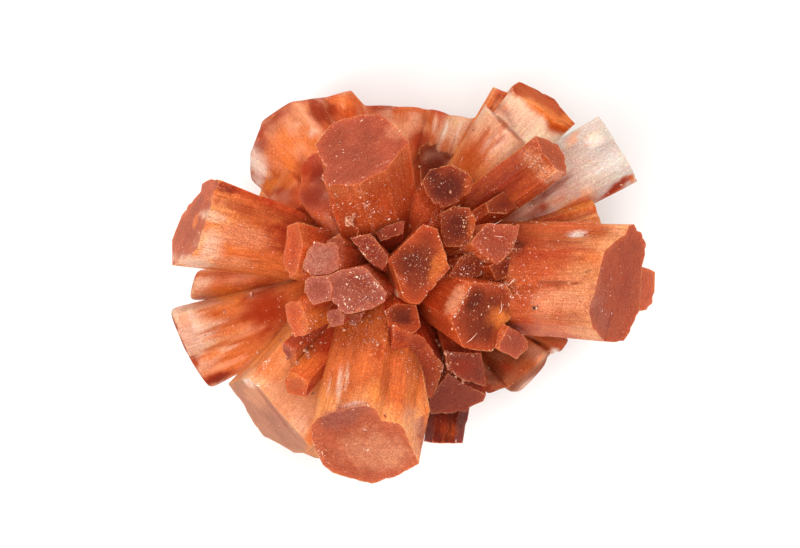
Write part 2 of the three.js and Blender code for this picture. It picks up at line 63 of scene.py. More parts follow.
# %% The table of crystals
GROWTH_CENTRE = (-1.8, 0.9, 17.0)
HEART_RADIUS = 6.2
CRYSTALS = {
    "north_west_spire": dict(skin="rust", azimuth=102, tilt=39, height=31.2, root=0.72, seen=[(-9.5, 13.5),
        (-8.6, 14.8), (-7.8, 15.8), (-6.1, 16.3), (-4.6, 16.6), (-3, 16.7), (-2.2, 15.9), (-1.2, 15.3),
        (-0.2, 13.7), (-1.7, 12.1), (-2.4, 11), (-4.3, 10.1), (-5.1, 9.6), (-8.5, 9.5), (-8.9, 10.4),
        (-8.4, 11.3), (-9.1, 12.4)]),
    "west_spire": dict(skin="amber", azimuth=156, tilt=70, height=24.5, root=0.4, seen=[(-23.8, 1.5),
        (-23.9, 4), (-22.9, 6.5), (-22.1, 7.8), (-21, 9), (-20.9, 9.7), (-19.9, 10.2), (-19, 10.1),
        (-19.6, 8.8), (-20, 7), (-20.6, 5.3), (-21.1, 3.5), (-22.1, 2.3)]),
    "east_spire": dict(skin="copper", azimuth=-8, tilt=60, height=28, root=0.85, seen=[(21.7, 5.6),
        (22.2, 5.7), (22.6, 5), (22.9, 4.9), (23.4, 3.7), (23.3, 2.6), (23, 1.5), (22.8, -3), (22.3, -3.9),
        (22, -4.4), (21.7, -5.2), (21.2, -6), (20.4, -6.1), (19.2, -6), (18.6, -5.4), (18, -4.6),
        (17.6, -3.2), (17.7, -2), (18.2, -1), (18.3, -0.3), (18.6, 0.9), (19, 2.4), (19.2, 3), (20.3, 4),
        (21.3, 4.7)]),
    "east_spire_lobe": dict(skin="coral", azimuth=-8, tilt=60, height=22.5, root=0.8, seen=[(22.9, 1.5),
        (23.9, 1.2), (24.4, 0.9), (24.3, -1.2), (24.1, -2.2), (23.6, -2.9), (22.7, -3), (22.1, -1.9),
        (22.3, 0.1)]),
    "south_spire": dict(skin="amber", azimuth=253, tilt=45, height=30.2, root=0.75, seen=[(-9.9, -15.6),
        (-9.9, -14.3), (-9.3, -13.6), (-8.2, -13.1), (-6, -12.5), (-4.7, -12.3), (-3.5, -12.6),
        (-2.9, -13.8), (-1.2, -14.1), (-0.7, -14.6), (0.8, -18.1), (-1.9, -19.6), (-3.9, -20.2),
        (-5.5, -19.8), (-7.8, -19.1), (-8.8, -18.3), (-9.5, -16.8)]),
    "south_spire_flank": dict(skin="amber", azimuth=-22, tilt=62, height=29, root=0.6, seen=[(-0.7, -14.6),
        (1.9, -12.9), (1.1, -16.4), (0.8, -18.1)]),
    "south_west_spire": dict(skin="peach", azimuth=227, tilt=74, height=20, root=0.85, seen=[(-18.3, -10.3),
        (-16.7, -9.7), (-16.1, -9.7), (-14.8, -10.9), (-13.1, -13.1), (-10.7, -15.7), (-9.9, -16.7),
        (-10.7, -17.2), (-11.7, -17.2), (-13.1, -16.4), (-14.8, -15.6), (-15.7, -14.4), (-16.7, -12.6),
        (-17.9, -10.9)]),
    "north_east_window": dict(skin="window", azimuth=56, tilt=76, height=12.5, root=0.6, seen=[(10.1, 19.5),
        (10.9, 20.1), (12.8, 19.2), (14.5, 18.3), (15.4, 17.1), (16.5, 15.8), (15.9, 15.3), (14.5, 16),
        (13.4, 17.1), (11.9, 18), (10.4, 18.8)]),
    "north_east_prism": dict(skin="clay", azimuth=37, tilt=66, height=25, root=0.75, seen=[(12.4, 14.5),
        (13.6, 14.1), (14.7, 13.6), (15.3, 12.6), (15.6, 10.7), (14.5, 10.9), (13.7, 12.1), (13.1, 12.7),
        (12.6, 13.8)]),
    "south_east_end": dict(skin="smoke", azimuth=-46, tilt=76, height=16, root=0.8, seen=[(9.7, -10.8),
        (10.1, -11.3), (11, -11.3), (12.3, -10), (13.6, -8.5), (14, -7.2), (13.6, -7), (12.7, -8.3),
        (11, -9.6), (9.9, -10.7)]),
    "crown_keystone": dict(skin="ember", azimuth=30, tilt=9, height=32.2, root=0.7, seen=[(-2.2, 2.2),
        (1.2, 5.6), (2.6, 5.2), (3.2, 3.4), (3.9, 1.3), (0.8, -2.3), (-0.1, -2.2), (-0.8, -1.6),
        (-1.6, 0.9)]),
    "crown_west_table": dict(skin="rose", azimuth=215, tilt=16, height=31.4, root=0.7, seen=[(-8.2, 0.6),
        (-7.1, 1.1), (-4.9, 1.5), (-4.3, 1.1), (-3.3, -0.1), (-2.4, -1.2), (-2.7, -2.1), (-3.9, -2.8),
        (-6.6, -3.4), (-7.7, -2.2), (-8, -1.8), (-8.3, -0.4)]),
    "crown_west_twin": dict(skin="rose", azimuth=200, tilt=20, height=30.6, root=0.7, seen=[(-10.5, 0),
        (-10.1, 0.4), (-8.3, 0.6), (-7.8, -0.6), (-8, -1.9), (-9.7, -2.4), (-10.6, -1.1)]),
    "crown_west_block": dict(skin="rose", azimuth=170, tilt=20, height=30.2, root=0.75, seen=[(-9.7, 3.9),
        (-8.3, 3.8), (-7.7, 3.9), (-7.2, 3.4), (-7.2, 1.2), (-8.1, 0.7), (-9.8, 0.5), (-10.8, 1.3),
        (-10.3, 2.9)]),
    "crown_slanted_blade": dict(skin="plum", azimuth=138, tilt=14, height=30.6, root=0.7, seen=[(-6.1, 4.3),
        (-5.3, 4.5), (-4.1, 4.7), (-3.6, 4.3), (-2.9, 3.3), (-2.3, 2.5), (-2.4, 1.5), (-2.9, 1.1),
        (-3.8, 1.5), (-4.6, 2.4), (-5.4, 3.4)]),
    "crown_north_scale": dict(skin="plum", azimuth=110, tilt=24, height=28, root=0.7, seen=[(-3.6, 4.8),
        (-2.5, 5.5), (-0.6, 6.1), (-0.8, 4.7), (-2.2, 4.2), (-3, 4)]),
    "crown_west_leaner": dict(skin="rust", azimuth=135, tilt=38, height=28.3, root=0.8, seen=[(-8.4, 3.9),
        (-7.2, 4.7), (-6.6, 3.9), (-6.8, 3), (-7.4, 2.9)]),
    "crown_south_button": dict(skin="ember", azimuth=281, tilt=18, height=29.4, root=0.75, seen=[(-2.6, -3),
        (-1.5, -2.2), (0.5, -2.4), (1, -4.5), (0.3, -5.2), (-1.1, -5), (-2.3, -4.5)]),
    "crown_east_hexagon": dict(skin="ember", azimuth=-26, tilt=36, height=29.6, root=0.6, seen=[(6, -0.2),
        (9.4, -0.4), (10, -1.1), (10.3, -2.7), (10.2, -3.4), (9.4, -4.2), (8.6, -6.2), (8, -7), (6.7, -6.9),
        (5.3, -6.7), (5, -6.2), (3.9, -3.8)]),
    "crown_east_button": dict(skin="shade", azimuth=4, tilt=26, height=28.2, root=0.75, seen=[(4.9, 2.4),
        (5.9, 2.9), (6.7, 2.7), (7.5, 2), (7.1, 0.7), (6.5, 0.3), (4.1, 0.2), (3.8, 0.5)]),
    "crown_north_east_hexagon": dict(skin="shade", azimuth=35, tilt=24, height=29, root=0.7,
        seen=[(2.9, 6.7), (4.2, 7.4), (5.8, 7.3), (6.6, 6), (5.8, 3.8), (5.1, 3.4), (3.5, 3.4), (3, 4.3)]),
    "crown_north_hexagon": dict(skin="shade", azimuth=57, tilt=34, height=26.8, root=0.75, seen=[(1.1, 9.9),
        (1.9, 11.1), (3.9, 11.6), (5.6, 10.9), (6.3, 10), (5.9, 8.8), (4.6, 7.8), (3.4, 7.3), (2.3, 7.8),
        (1.6, 8.6)]),
    "crown_east_plate": dict(skin="rust", azimuth=20, tilt=34, height=27.6, root=0.75, seen=[(5.9, 3.8),
        (7.6, 5.8), (10.8, 5.6), (10.6, 4.5), (10.1, 3), (8.6, 1.6), (7.3, 2.5)]),
    "crown_east_chip": dict(skin="shade", azimuth=8, tilt=40, height=27.4, root=0.75, seen=[(7.8, 1.5),
        (9.3, 2.5), (10.3, 2.1), (10.4, 1.4), (9.7, 0.4), (8.5, 0)]),
    "crown_east_bead": dict(skin="ember", azimuth=-6, tilt=44, height=27.2, root=0.75, seen=[(9.9, -0.2),
        (11, 0.8), (11.5, 0), (11.4, -1), (10.4, -2)]),
    "crown_north_east_chip": dict(skin="shade", azimuth=30, tilt=45, height=24.8, root=0.75,
        seen=[(7.5, 7.8), (9.2, 8.9), (10.7, 7.3), (9.4, 6.7), (7.7, 6.8)]),
    "crown_south_east_cube": dict(skin="rust", azimuth=-35, tilt=46, height=27.4, root=0.75,
        seen=[(9.7, -4.5), (11, -5.2), (11.6, -6), (11.6, -6.7), (10.5, -7.8), (8.7, -6.8), (9.1, -5.6)]),
    "crown_south_west_block": dict(skin="coral", azimuth=200, tilt=48, height=27.4, root=0.8,
        seen=[(-12.6, -2.4), (-12.1, -2), (-11.5, -1.9), (-11, -2.1), (-10.2, -4.3), (-10.5, -5.4),
        (-11.6, -5.6), (-12.3, -4)]),
    "crown_south_west_cube": dict(skin="rose", azimuth=225, tilt=30, height=29, root=0.75,
        seen=[(-8.4, -2.9), (-7.3, -2.7), (-6.6, -3.5), (-6.8, -4.3), (-7.8, -4.6), (-8.3, -3.9)]),
    "crown_south_scale": dict(skin="plum", azimuth=250, tilt=32, height=27.8, root=0.75, seen=[(-6.5, -3.5),
        (-4.5, -3), (-5.3, -4.5), (-6.1, -4.4)]),
    "crown_far_west_plate": dict(skin="coral", azimuth=168, tilt=42, height=26.8, root=0.8,
        seen=[(-12.4, 5.5), (-11.3, 5.9), (-10.7, 3.7), (-11.1, 2), (-11.4, 0.6), (-12.1, 0.3),
        (-12.8, 1.9), (-12.4, 4.3)]),
    "south_knob": dict(skin="raw", azimuth=228, tilt=40, height=25.6, root=0.8, seen=[(-12.7, -10.2),
        (-12.2, -9), (-11.3, -9.3), (-10.2, -10.1), (-10.5, -11.6), (-12.3, -11.2)]),
    "south_shoulder": dict(skin="raw", azimuth=-62, tilt=44, height=25.4, root=0.9, seen=[(-1.8, -4.3),
        (1.3, -5.6), (3.3, -8.5), (2.2, -11.8), (1.1, -11.8), (0.2, -9.4), (-2, -7.4)]),
    "south_brow": dict(skin="plum", azimuth=-68, tilt=50, height=20.6, root=0.9, grows_from=(3.4, -3, 14),
        seen=[(2.3, -11.1), (3.7, -9.2), (5, -10.1), (7.5, -11.4), (7.2, -12), (6.1, -12.5), (5.5, -13.1),
        (2, -13.3), (1.6, -12.2)]),
    "south_brow_step": dict(skin="plum", azimuth=-40, tilt=40, height=23.4, root=0.9,
        grows_from=(3.4, -3, 14), seen=[(3.3, -7), (7, -7.2), (7.6, -10.6), (5.2, -9.9), (3.6, -8.8)]),
    "south_knob_step": dict(skin="rose", azimuth=215, tilt=50, height=24.4, root=0.8, seen=[(-12.8, -6.1),
        (-11.6, -6.8), (-11.4, -8.5), (-12.3, -8.6), (-12.8, -7.4)]),
    "crown_shaded_wedge": dict(skin="rust", azimuth=125, tilt=38, height=22.8, root=0.85,
        seen=[(-11.3, 11.3), (-10.5, 12.6), (-9.5, 13.3), (-8.2, 12), (-7.6, 8.5), (-8.6, 6.4),
        (-10.6, 6.9), (-11.6, 8.9), (-10.9, 10.1)]),
    "north_west_shoulder": dict(skin="raw", azimuth=138, tilt=56, height=18, root=0.8, seen=[(-16, 10.2),
        (-14.2, 11.8), (-12, 11), (-10.6, 8.2), (-12.4, 7), (-14.6, 8.4)]),
    "crown_north_root": dict(skin="shade", azimuth=80, tilt=58, height=18.5, root=0.9, seen=[(1.2, 7.6),
        (1, 13.6), (3.2, 14.2), (5.6, 13.2), (6.6, 11), (6.6, 9), (4, 7)]),
    "west_fan": dict(skin="milky", tilt=93, height=17, rim=[(-24.35, -2.8), (-22.3, -7.9)], deep=8.6,
        root=0.55),
    "west_fan_lower": dict(skin="stained", tilt=93, height=15.6, rim=[(-22.6, -7.3), (-20.2, -10.9)],
        deep=8, root=0.6),
    "west_fan_back": dict(skin="amber", tilt=97, height=13.4, rim=[(-21.6, 1.3), (-22.5, -1.9)], deep=6.4,
        root=0.8),
    "north_west_fan_foot": dict(skin="milky", tilt=92, height=13, rim=[(-16.2, 10), (-16.2, 13)], deep=6.4,
        root=0.7),
    "north_west_fan": dict(skin="stained", tilt=92, height=12.8, rim=[(-16.3, 12.6), (-14.8, 16.3)],
        deep=7.6, root=0.7),
    "north_west_fan_top": dict(skin="stained", tilt=92, height=12.2, rim=[(-15.3, 15.9), (-11.8, 18.3)],
        deep=8, root=0.7),
    "north_fan": dict(skin="stained", tilt=92, height=11.8, rim=[(-12.2, 18), (-8.4, 18.6)], deep=7.4,
        root=0.7),
    "north_fan_peak": dict(skin="coral", tilt=92, height=11.4, rim=[(-8.7, 18.5), (-5.8, 19.3)], deep=7,
        root=0.7),
    "north_fan_end": dict(skin="coral", tilt=92, height=11, rim=[(-6, 19.2), (-4.7, 17.8)], deep=6,
        root=0.7),
    "north_fan_step": dict(skin="stained", tilt=97, height=10.5, rim=[(-5, 17.8), (-1.2, 17.8)], deep=6.4,
        root=0.7),
    "north_ridge": dict(skin="copper", tilt=98, height=10.8, rim=[(-1.7, 17.8), (1.9, 17.55)], deep=7,
        root=0.7),
    "north_ridge_step": dict(skin="stained", tilt=97, height=10.2, rim=[(1.7, 17.6), (4, 16.9)], deep=6,
        root=0.7),
    "north_ridge_end": dict(skin="milky", tilt=97, height=11, rim=[(3.8, 17), (6.7, 16.3)], deep=6.4,
        root=0.8),
    "north_east_ridge": dict(skin="milky", tilt=88, height=15, rim=[(7.5, 17.7), (9.5, 15.9)], deep=6.6,
        root=0.7),
    "north_east_ridge_end": dict(skin="milky", tilt=88, height=15.6, rim=[(9.1, 16.3), (11.6, 13.8)],
        deep=6.6, root=0.7),
    "north_east_nub": dict(skin="stained", azimuth=66, tilt=94, height=12, rim=[(8.2, 18.9), (10.3, 19.3)],
        deep=4.6, root=0.7),
    "east_window": dict(skin="milk", tilt=94, height=15, rim=[(18.9, 16.6), (22.8, 10.05)], deep=7.2,
        root=0.75),
    "east_window_step": dict(skin="copper", azimuth=18, tilt=94, height=17, rim=[(18.9, 8.2), (18.5, 5.2)],
        deep=6.4, root=0.95),
    "south_foot_prism": dict(skin="soot", tilt=94, height=15, rim=[(5.2, -16.3), (1.3, -16.2)], deep=5.4,
        root=1, grows_from=(5, -4, 13)),
    "south_east_wedge": dict(skin="smoke", tilt=97, height=15, rim=[(9.9, -10.6), (7.6, -11.5)], deep=5,
        root=0.9),
    "east_heel": dict(skin="smoke", tilt=97, height=14, rim=[(16, -5.9), (15, -7.3)], deep=5.4, root=0.9),
    "east_heel_step": dict(skin="smoke", azimuth=-45, tilt=97, height=13.4, rim=[(15.1, -7.2), (14, -7.1)],
        deep=5, root=0.9),
    "south_west_sill": dict(skin="peach", azimuth=246, tilt=97, height=12.6, rim=[(-11.8, -17.2),
        (-9, -17.8)], deep=6, root=0.7),
    "foot": dict(skin="rust", azimuth=270, tilt=180, at=(-0.6, -0.4, 0), wide=13, deep=11.6, turn=12,
        root=0.8),
    "under_north_east": dict(skin="amber", azimuth=38, tilt=128, at=(9.5, 9.2, 4.6), wide=7.6, deep=7,
        turn=20, root=0.6),
    "under_north": dict(skin="copper", azimuth=96, tilt=130, at=(-3.4, 12.6, 4.4), wide=8, deep=7.2, turn=5,
        root=0.6),
    "under_north_west": dict(skin="amber", azimuth=146, tilt=124, at=(-13.2, 8.8, 5.2), wide=8.2, deep=7.2,
        turn=30, root=0.6),
    "under_west": dict(skin="rust", azimuth=190, tilt=126, at=(-15.6, -2.2, 5), wide=7.4, deep=7.6, turn=0,
        root=0.6),
    "under_south_west": dict(skin="copper", azimuth=232, tilt=132, at=(-9.2, -10.4, 4.4), wide=8, deep=7,
        turn=15, root=0.6),
    "under_south": dict(skin="amber", azimuth=285, tilt=124, at=(1.8, -11.6, 5.2), wide=6.8, deep=7,
        turn=10, root=0.6),
    "under_south_east": dict(skin="copper", azimuth=330, tilt=126, at=(10.4, -5, 5), wide=7.2, deep=6.6,
        turn=22, root=0.6),
    "under_east": dict(skin="amber", azimuth=4, tilt=116, at=(14.8, 1.6, 8), wide=8, deep=7.4, turn=0,
        root=0.6),
}
print(len(CRYSTALS), "crystals in the table")

# %% [markdown]
# ## Numbers that look random and never change
# Natural relief needs irregular numbers, and every run must give the same ones. A large sine of
# whole numbers has a fraction that looks random. Blending that fraction smoothly between the
# corners of a grid of cells gives soft hills and hollows, for whole arrays of points at once.

# %% Repeatable noise
def scatter(*whole):
    """The fraction of a large sine of whole numbers: the same numbers always give the same result."""
    mixed = sum(w * k for w, k in zip(whole, (12.9898, 78.233, 37.719, 53.113)))
    wave = np.sin(mixed) * 43758.5453
    return wave - np.floor(wave)


def soft_noise(points, cell, seed):
    """Random values at the corners of cells, blended with 3t^2 - 2t^3 along each axis: 0 to 1."""
    place = np.asarray(points, float) / np.asarray(cell, float) + 100.0
    low = np.floor(place)
    blend = place - low
    blend = blend * blend * (3 - 2 * blend)
    total = np.zeros(len(place))
    for corner in range(8):
        step = np.array([corner & 1, corner >> 1 & 1, corner >> 2 & 1])
        weight = np.prod(np.where(step, blend, 1 - blend), axis=1)
        total += weight * scatter(*(low + step).T, np.full(len(place), float(seed)))
    return total


def smooth(value, low, high):
    """0 below low, 1 above high, and an S-curve between them."""
    t = np.clip((np.asarray(value, float) - low) / (high - low), 0, 1)
    return t * t * (3 - 2 * t)


print("noise at three points:", soft_noise(np.eye(3), 0.7, 4).round(3))

# %% [markdown]
# ## From the table to a prism
# Every end gets three directions: the way it faces, the direction across it that stays level, and
# the direction up it. An outline seen from above is laid onto the end's tilted plane by undoing the
# foreshortening: lengths along the slope are divided by the cosine of the tilt.

# %% Axes, outlines and heads
def unit_axes(azimuth, tilt):
    """The facing direction of an end, the level direction across it, and up it: facing x across."""
    a, t = np.radians(azimuth), np.radians(tilt)
    facing = np.array([np.sin(t) * np.cos(a), np.sin(t) * np.sin(a), np.cos(t)])
    across = np.array([-np.sin(a), np.cos(a), 0.0])
    return facing, across, np.cross(facing, across)


def rim_outline(wide, deep, seed):
    """A flattened uneven ten-sided outline whose full width is at half its depth."""
    lift = 0.16 * (scatter(np.full(10, float(seed)), np.arange(10.0)) - 0.5)
    return np.array([
        (0.5, -0.2 + lift[0]), (0.5, 0.25 + lift[1]), (0.3 + lift[2], 0.46 + lift[3] / 3),
        (0.05 + lift[4], 0.42), (-0.08 + lift[4], 0.5), (-0.32 + lift[5], 0.46), (-0.5, 0.22 + lift[6]),
        (-0.5, -0.18 + lift[7]), (-0.3 + lift[8], -0.5), (0.28 + lift[9], -0.48)]) * (wide, deep)


def twin_outline(wide, deep, turn, seed):
    """Six uneven corners round an ellipse, with a notch after some of them where two twins meet."""
    corners = []
    for k in range(6):
        angle = np.radians(turn + k * 60 + (scatter(seed, k) - 0.5) * 16)
        reach = 0.94 + 0.12 * scatter(seed, k + 10)
        corners.append((np.cos(angle) * reach * wide / 2, np.sin(angle) * reach * deep / 2))
        if scatter(seed, k + 20) < 0.45:
            notch = np.radians(turn + k * 60 + 20 + 20 * scatter(seed, k + 30))
            depth = 0.8 - 0.06 * scatter(seed, k + 40)
            corners.append((np.cos(notch) * depth * wide / 2, np.sin(notch) * depth * deep / 2))
    return np.array(corners)


def head_of(spec, seed):
    """The middle of an end, its three directions and its outline in them, counter-clockwise, in mm."""
    if "seen" in spec:
        facing, across, up = unit_axes(spec["azimuth"], spec["tilt"])
        seen = np.array(spec["seen"], float)
        middle = (seen.min(0) + seen.max(0)) / 2
        head = np.array([*middle, spec["height"]])
        flat = seen - middle
        downhill = np.array([across[1], -across[0]])
        outline = np.column_stack([flat @ across[:2], -(flat @ downhill) / facing[2]])
    elif "rim" in spec:
        (ax, ay), (bx, by) = spec["rim"]
        middle = np.array([(ax + bx) / 2, (ay + by) / 2])
        azimuth = np.degrees(np.arctan2(ax - bx, by - ay))
        if np.array([np.cos(np.radians(azimuth)), np.sin(np.radians(azimuth))]) @ middle < 0:
            azimuth += 180
        facing, across, up = unit_axes(spec.get("azimuth", azimuth), spec["tilt"])
        overhang = abs(facing[2]) * spec["deep"] / 2
        head = np.array([middle[0] - across[1] * overhang, middle[1] + across[0] * overhang, spec["height"]])
        outline = rim_outline(np.hypot(bx - ax, by - ay), spec["deep"], seed)
    else:
        facing, across, up = unit_axes(spec["azimuth"], spec["tilt"])
        head = np.array(spec["at"], float)
        outline = twin_outline(spec["wide"], spec["deep"], spec["turn"], seed)
    area = np.sum(outline[:, 0] * np.roll(outline[:, 1], -1) - outline[:, 1] * np.roll(outline[:, 0], -1))
    return head, facing, across, up, outline if area > 0 else outline[::-1]


HEADS = {name: head_of(spec, k + 1) for k, (name, spec) in enumerate(CRYSTALS.items())}
print("the widest end is", round(max(np.ptp(h[4], axis=0).max() for h in HEADS.values()), 1), "mm")

# %% [markdown]
# ## The relief of a post
# A real post isn't a smooth prism. Its sides carry fine flutes along the axis, because the three
# twins grew side by side, and thin slabs of later growth that stop short of the end. Its end is
# nearly flat but has low steps, a little etching and a chipped edge. All of it is a distance to move
# each point along the side's or the end's own outward direction, worked out from where it is.

# %% Relief on the sides and on the end
CHIPPED = (0.68, 0.98)  # the noise at which a chip begins, and at which it is full


def side_relief(place, along, turn_share, girth, length, seed, rough):
    """Flutes, slabs and chips in mm, outwards. Flutes are three sizes of noise stretched along the
    axis. Slabs are strips of the girth, each raised past its own stop. Chips bite the edge of the end."""
    stretched = np.column_stack([place, along])
    flutes = (0.13 * (soft_noise(stretched, (1.9, 1.9, 16), seed) - 0.6)
              + 0.05 * (soft_noise(stretched, (0.7, 0.7, 11), seed + 1) - 0.6)
              + 0.04 * (soft_noise(stretched, (0.5, 0.5, 1.2), seed + 2) - 0.6))
    strips = max(4, round(girth / 1.5))
    wander = 0.35 * soft_noise(stretched, (2.5, 2.5, 9), seed + 3)
    strip = np.floor(turn_share * strips + wander) % strips
    raised = 0.3 * scatter(strip, np.full_like(strip, seed + 4.0)) ** 1.5
    stop = 0.5 + 0.55 * length * scatter(strip, np.full_like(strip, seed + 5.0)) ** 2
    ragged = 0.5 * soft_noise(stretched, (0.4, 0.4, 50), seed + 6)
    slabs = raised * smooth(along, stop + ragged, stop + ragged + 0.25)
    bite = smooth(soft_noise(stretched, (0.6, 0.6, 3), seed + 7), *CHIPPED)
    chips = -0.22 * bite * np.exp(-along / 0.3)
    return rough * (flutes + slabs) + chips


def end_relief(place, inset, seed, rough):
    """Low steps, gentle waves and etching in mm, along the facing. Steps are noise rounded down to
    thirds. The edge, where inset is small, is bitten by the same kind of chips."""
    flat = np.column_stack([place, np.zeros(len(place))])
    waves = 0.10 * (soft_noise(flat, 2.6, seed + 11) - 0.5)
    steps = 0.06 * np.floor(3.4 * soft_noise(flat, (2.2, 1.3, 1), seed + 12)) / 3
    etched = 0.035 * (soft_noise(flat, 0.42, seed + 13) - 0.5)
    bite = smooth(soft_noise(flat, 0.7, seed + 14), *CHIPPED)
    return rough * (waves + steps + etched) - 0.04 - 0.14 * bite * np.exp(-inset / 0.25)


# %% [markdown]
# ## The surface of a post
# One grid covers the whole post. Its rows are rings: first across the end from its middle to its
# edge, then down the sides to the root, closer together near the edge where the detail is. Its
# columns run round the outline, and every corner of the outline keeps a column of its own, so the
# edges of the prism stay sharp. A point at each end closes the grid.

# %% The grid of rings
DEEPEST = 0.86  # how far a post runs, as a share of the way from its end to its root
EDGE_ROWS = np.array([0.12, 0.3, 0.55, 0.9, 1.3])  # the first rows below the end's edge, in mm
END_SPACING = 1.25  # rows across the end are this many column steps apart
SIDE_SPACING = 2.4  # and those down the side are this many apart


def ring_columns(outline, step):
    """Even points along each side of a closed outline: place, outward direction, share of the girth."""
    ahead = np.roll(outline, -1, 0) - outline
    run = np.hypot(*ahead.T)
    cuts = np.maximum(1, np.round(run / step)).astype(int)
    side = np.repeat(np.arange(len(outline)), cuts)
    nth = np.arange(cuts.sum()) - (np.cumsum(cuts) - cuts)[side]
    share = nth / cuts[side]
    place = outline[side] + share[:, None] * ahead[side]
    out = np.column_stack([ahead[:, 1], -ahead[:, 0]]) / run[:, None]
    direction = np.where((nth == 0)[:, None], out[side] + np.roll(out, 1, 0)[side], out[side])
    direction /= np.maximum(np.hypot(*direction.T), 1e-6)[:, None]
    travelled = (np.cumsum(run) - run)[side] + share * run[side]
    return place, direction, travelled / run.sum(), run.sum()


def outline_inset(place, outline):
    """How far each point is from the nearest side of an outline."""
    ahead = np.roll(outline, -1, 0) - outline
    gap = place[:, None, :] - outline[None]
    share = np.clip((gap * ahead).sum(2) / (ahead ** 2).sum(1), 0, 1)
    return np.hypot(*np.moveaxis(gap - share[..., None] * ahead, 2, 0)).min(1)


def post_surface(head, facing, across, up, outline, root, root_share, seed, step, rough=1.0):
    """Rings from the middle of the end outwards and then down the sides.
    Place = head + down x (root - head) + width x (u across + v up) + relief, where down runs from 0
    at the end to DEEPEST, and width falls from 1 towards root_share, which it would reach at the root."""
    column, direction, turn_share, girth = ring_columns(outline, step)
    count = len(column)
    middle = outline.mean(0)
    length = np.linalg.norm(root - head)
    spread = np.hypot(*(column - middle).T).max()
    inner = np.linspace(0, 1, max(3, int(spread / (step * END_SPACING))) + 1)[1:]
    begin, deep = EDGE_ROWS[-1], length * DEEPEST
    rows = int((deep - begin) / (step * SIDE_SPACING))
    far = begin + (deep - begin) * (np.arange(1, rows + 1) / rows) ** 1.15
    along = np.concatenate([EDGE_ROWS, far])

    flat = middle + inner[:, None, None] * (column - middle)
    flat = flat.reshape(-1, 2)
    inset = outline_inset(flat, outline)
    raised = end_relief(flat, inset, seed, rough)
    edge_relief = side_relief(column, np.zeros(count), turn_share, girth, length, seed, rough)
    pull = smooth(np.repeat(inner, count), 0.8, 1.0) * np.tile(edge_relief, len(inner))
    flat = flat + pull[:, None] * np.tile(direction, (len(inner), 1))
    end = head + flat @ np.array([across, up]) + raised[:, None] * facing

    down = np.repeat(along, count)
    tiled = np.tile(column, (len(along), 1))
    relief = side_relief(tiled, down, np.tile(turn_share, len(along)), girth, length, seed, rough)
    wall = tiled + relief[:, None] * np.tile(direction, (len(along), 1))
    share = down / length
    width = 1 + (root_share - 1) * share
    wall = head + share[:, None] * (root - head) + (width[:, None] * wall) @ np.array([across, up])

    tip = head + middle @ np.array([across, up]) + facing * raised[:count].mean()
    tail = head + DEEPEST * (root - head)
    points = np.vstack([tip, end, wall, tail])
    rings = len(inner) + len(along)
    ring = 1 + np.arange(rings * count).reshape(rings, count)
    a, b = ring[:-1], ring[1:]
    quads = np.stack([a, b, np.roll(b, -1, 1), np.roll(a, -1, 1)], axis=-1).reshape(-1, 4)
    cap = np.column_stack([np.zeros(count, int), ring[0], np.roll(ring[0], -1)])
    base = np.column_stack([np.full(count, len(points) - 1), np.roll(ring[-1], -1), ring[-1]])
    return points, np.vstack([quads[:, [0, 1, 2]], quads[:, [0, 2, 3]], cap, base])


sample = post_surface(*HEADS["crown_keystone"], np.array(GROWTH_CENTRE), root_share=0.7, seed=1, step=0.35)
print("the keystone has", len(sample[1]), "triangles")


# %% [markdown]
# ## One skin
# The posts have grown into each other, so the overlaps inside must go. The Boolean modifier with
# the Manifold solver takes a whole collection at once and keeps face attributes, so each face of
# the result still knows which post it came from. A pocket between posts that nothing can reach is
# left out: only the largest connected sheet of the result is the outside. The fans of thin posts at
# the back are worn: water has rounded them and filled the grooves, which a few rounds of moving
# every point towards its neighbours does too. Milky and clear posts are calmer: their relief is low.

# %% Make every post a mesh and join them
STEP = 0.29  # mm between the columns of a post
STEP_UNDER = 0.5  # the same for posts underneath
HEART_STEP = 0.9  # and for the ball at the growth centre
SEEDS_PER_POST = 20
WEAR_ROUNDS = 20
# skin: how much of the relief is left
CALM = {"milky": 0.25, "milk": 0.3, "stained": 0.25, "window": 0.35, "smoke": 0.35, "peach": 0.5}
# how a name begins: how worn that post is, from 0 to 1
WORN = {"north_west_fan": 0.6, "north_fan": 0.6, "north_ridge": 0.6, "north_east_ridge": 0.45,
        "west_fan": 0.5, "crown_north_root": 0.3, "crown_shaded_wedge": 0.25,
        "north_west_shoulder": 0.3, "south_west_sill": 0.2, "south_east_end": 0.2, "east_heel": 0.2,
        "south_east_wedge": 0.2}
post_names = ["heart", *CRYSTALS]
wear = np.array([max([w for k, w in WORN.items() if name.startswith(k)], default=0.0) for name in post_names])
high = np.array(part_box(NODE)[1]) * 1000
drawn = np.vstack([spec.get("seen", spec.get("rim", [(0, 0)])) for spec in CRYSTALS.values()])
SHIFT = np.array([high[0] - drawn[:, 0].max(), high[1] - drawn[:, 1].max(), 0])
print("the table's origin sits at", SHIFT.round(3), "mm in the frame")


def to_object(name, points, triangles):
    """A mesh object from points in mm and rows of three point numbers."""
    mesh = bpy.data.meshes.new(name)
    mesh.vertices.add(len(points))
    mesh.vertices.foreach_set("co", (np.asarray(points) / 1000).astype(np.float32).ravel())
    mesh.loops.add(len(triangles) * 3)
    mesh.loops.foreach_set("vertex_index", np.asarray(triangles, np.int32).ravel())
    mesh.polygons.add(len(triangles))
    mesh.polygons.foreach_set("loop_start", np.arange(0, len(triangles) * 3, 3, dtype=np.int32))
    mesh.update(calc_edges=True)
    item = bpy.data.objects.new(name, mesh)
    bpy.context.scene.collection.objects.link(item)
    return item


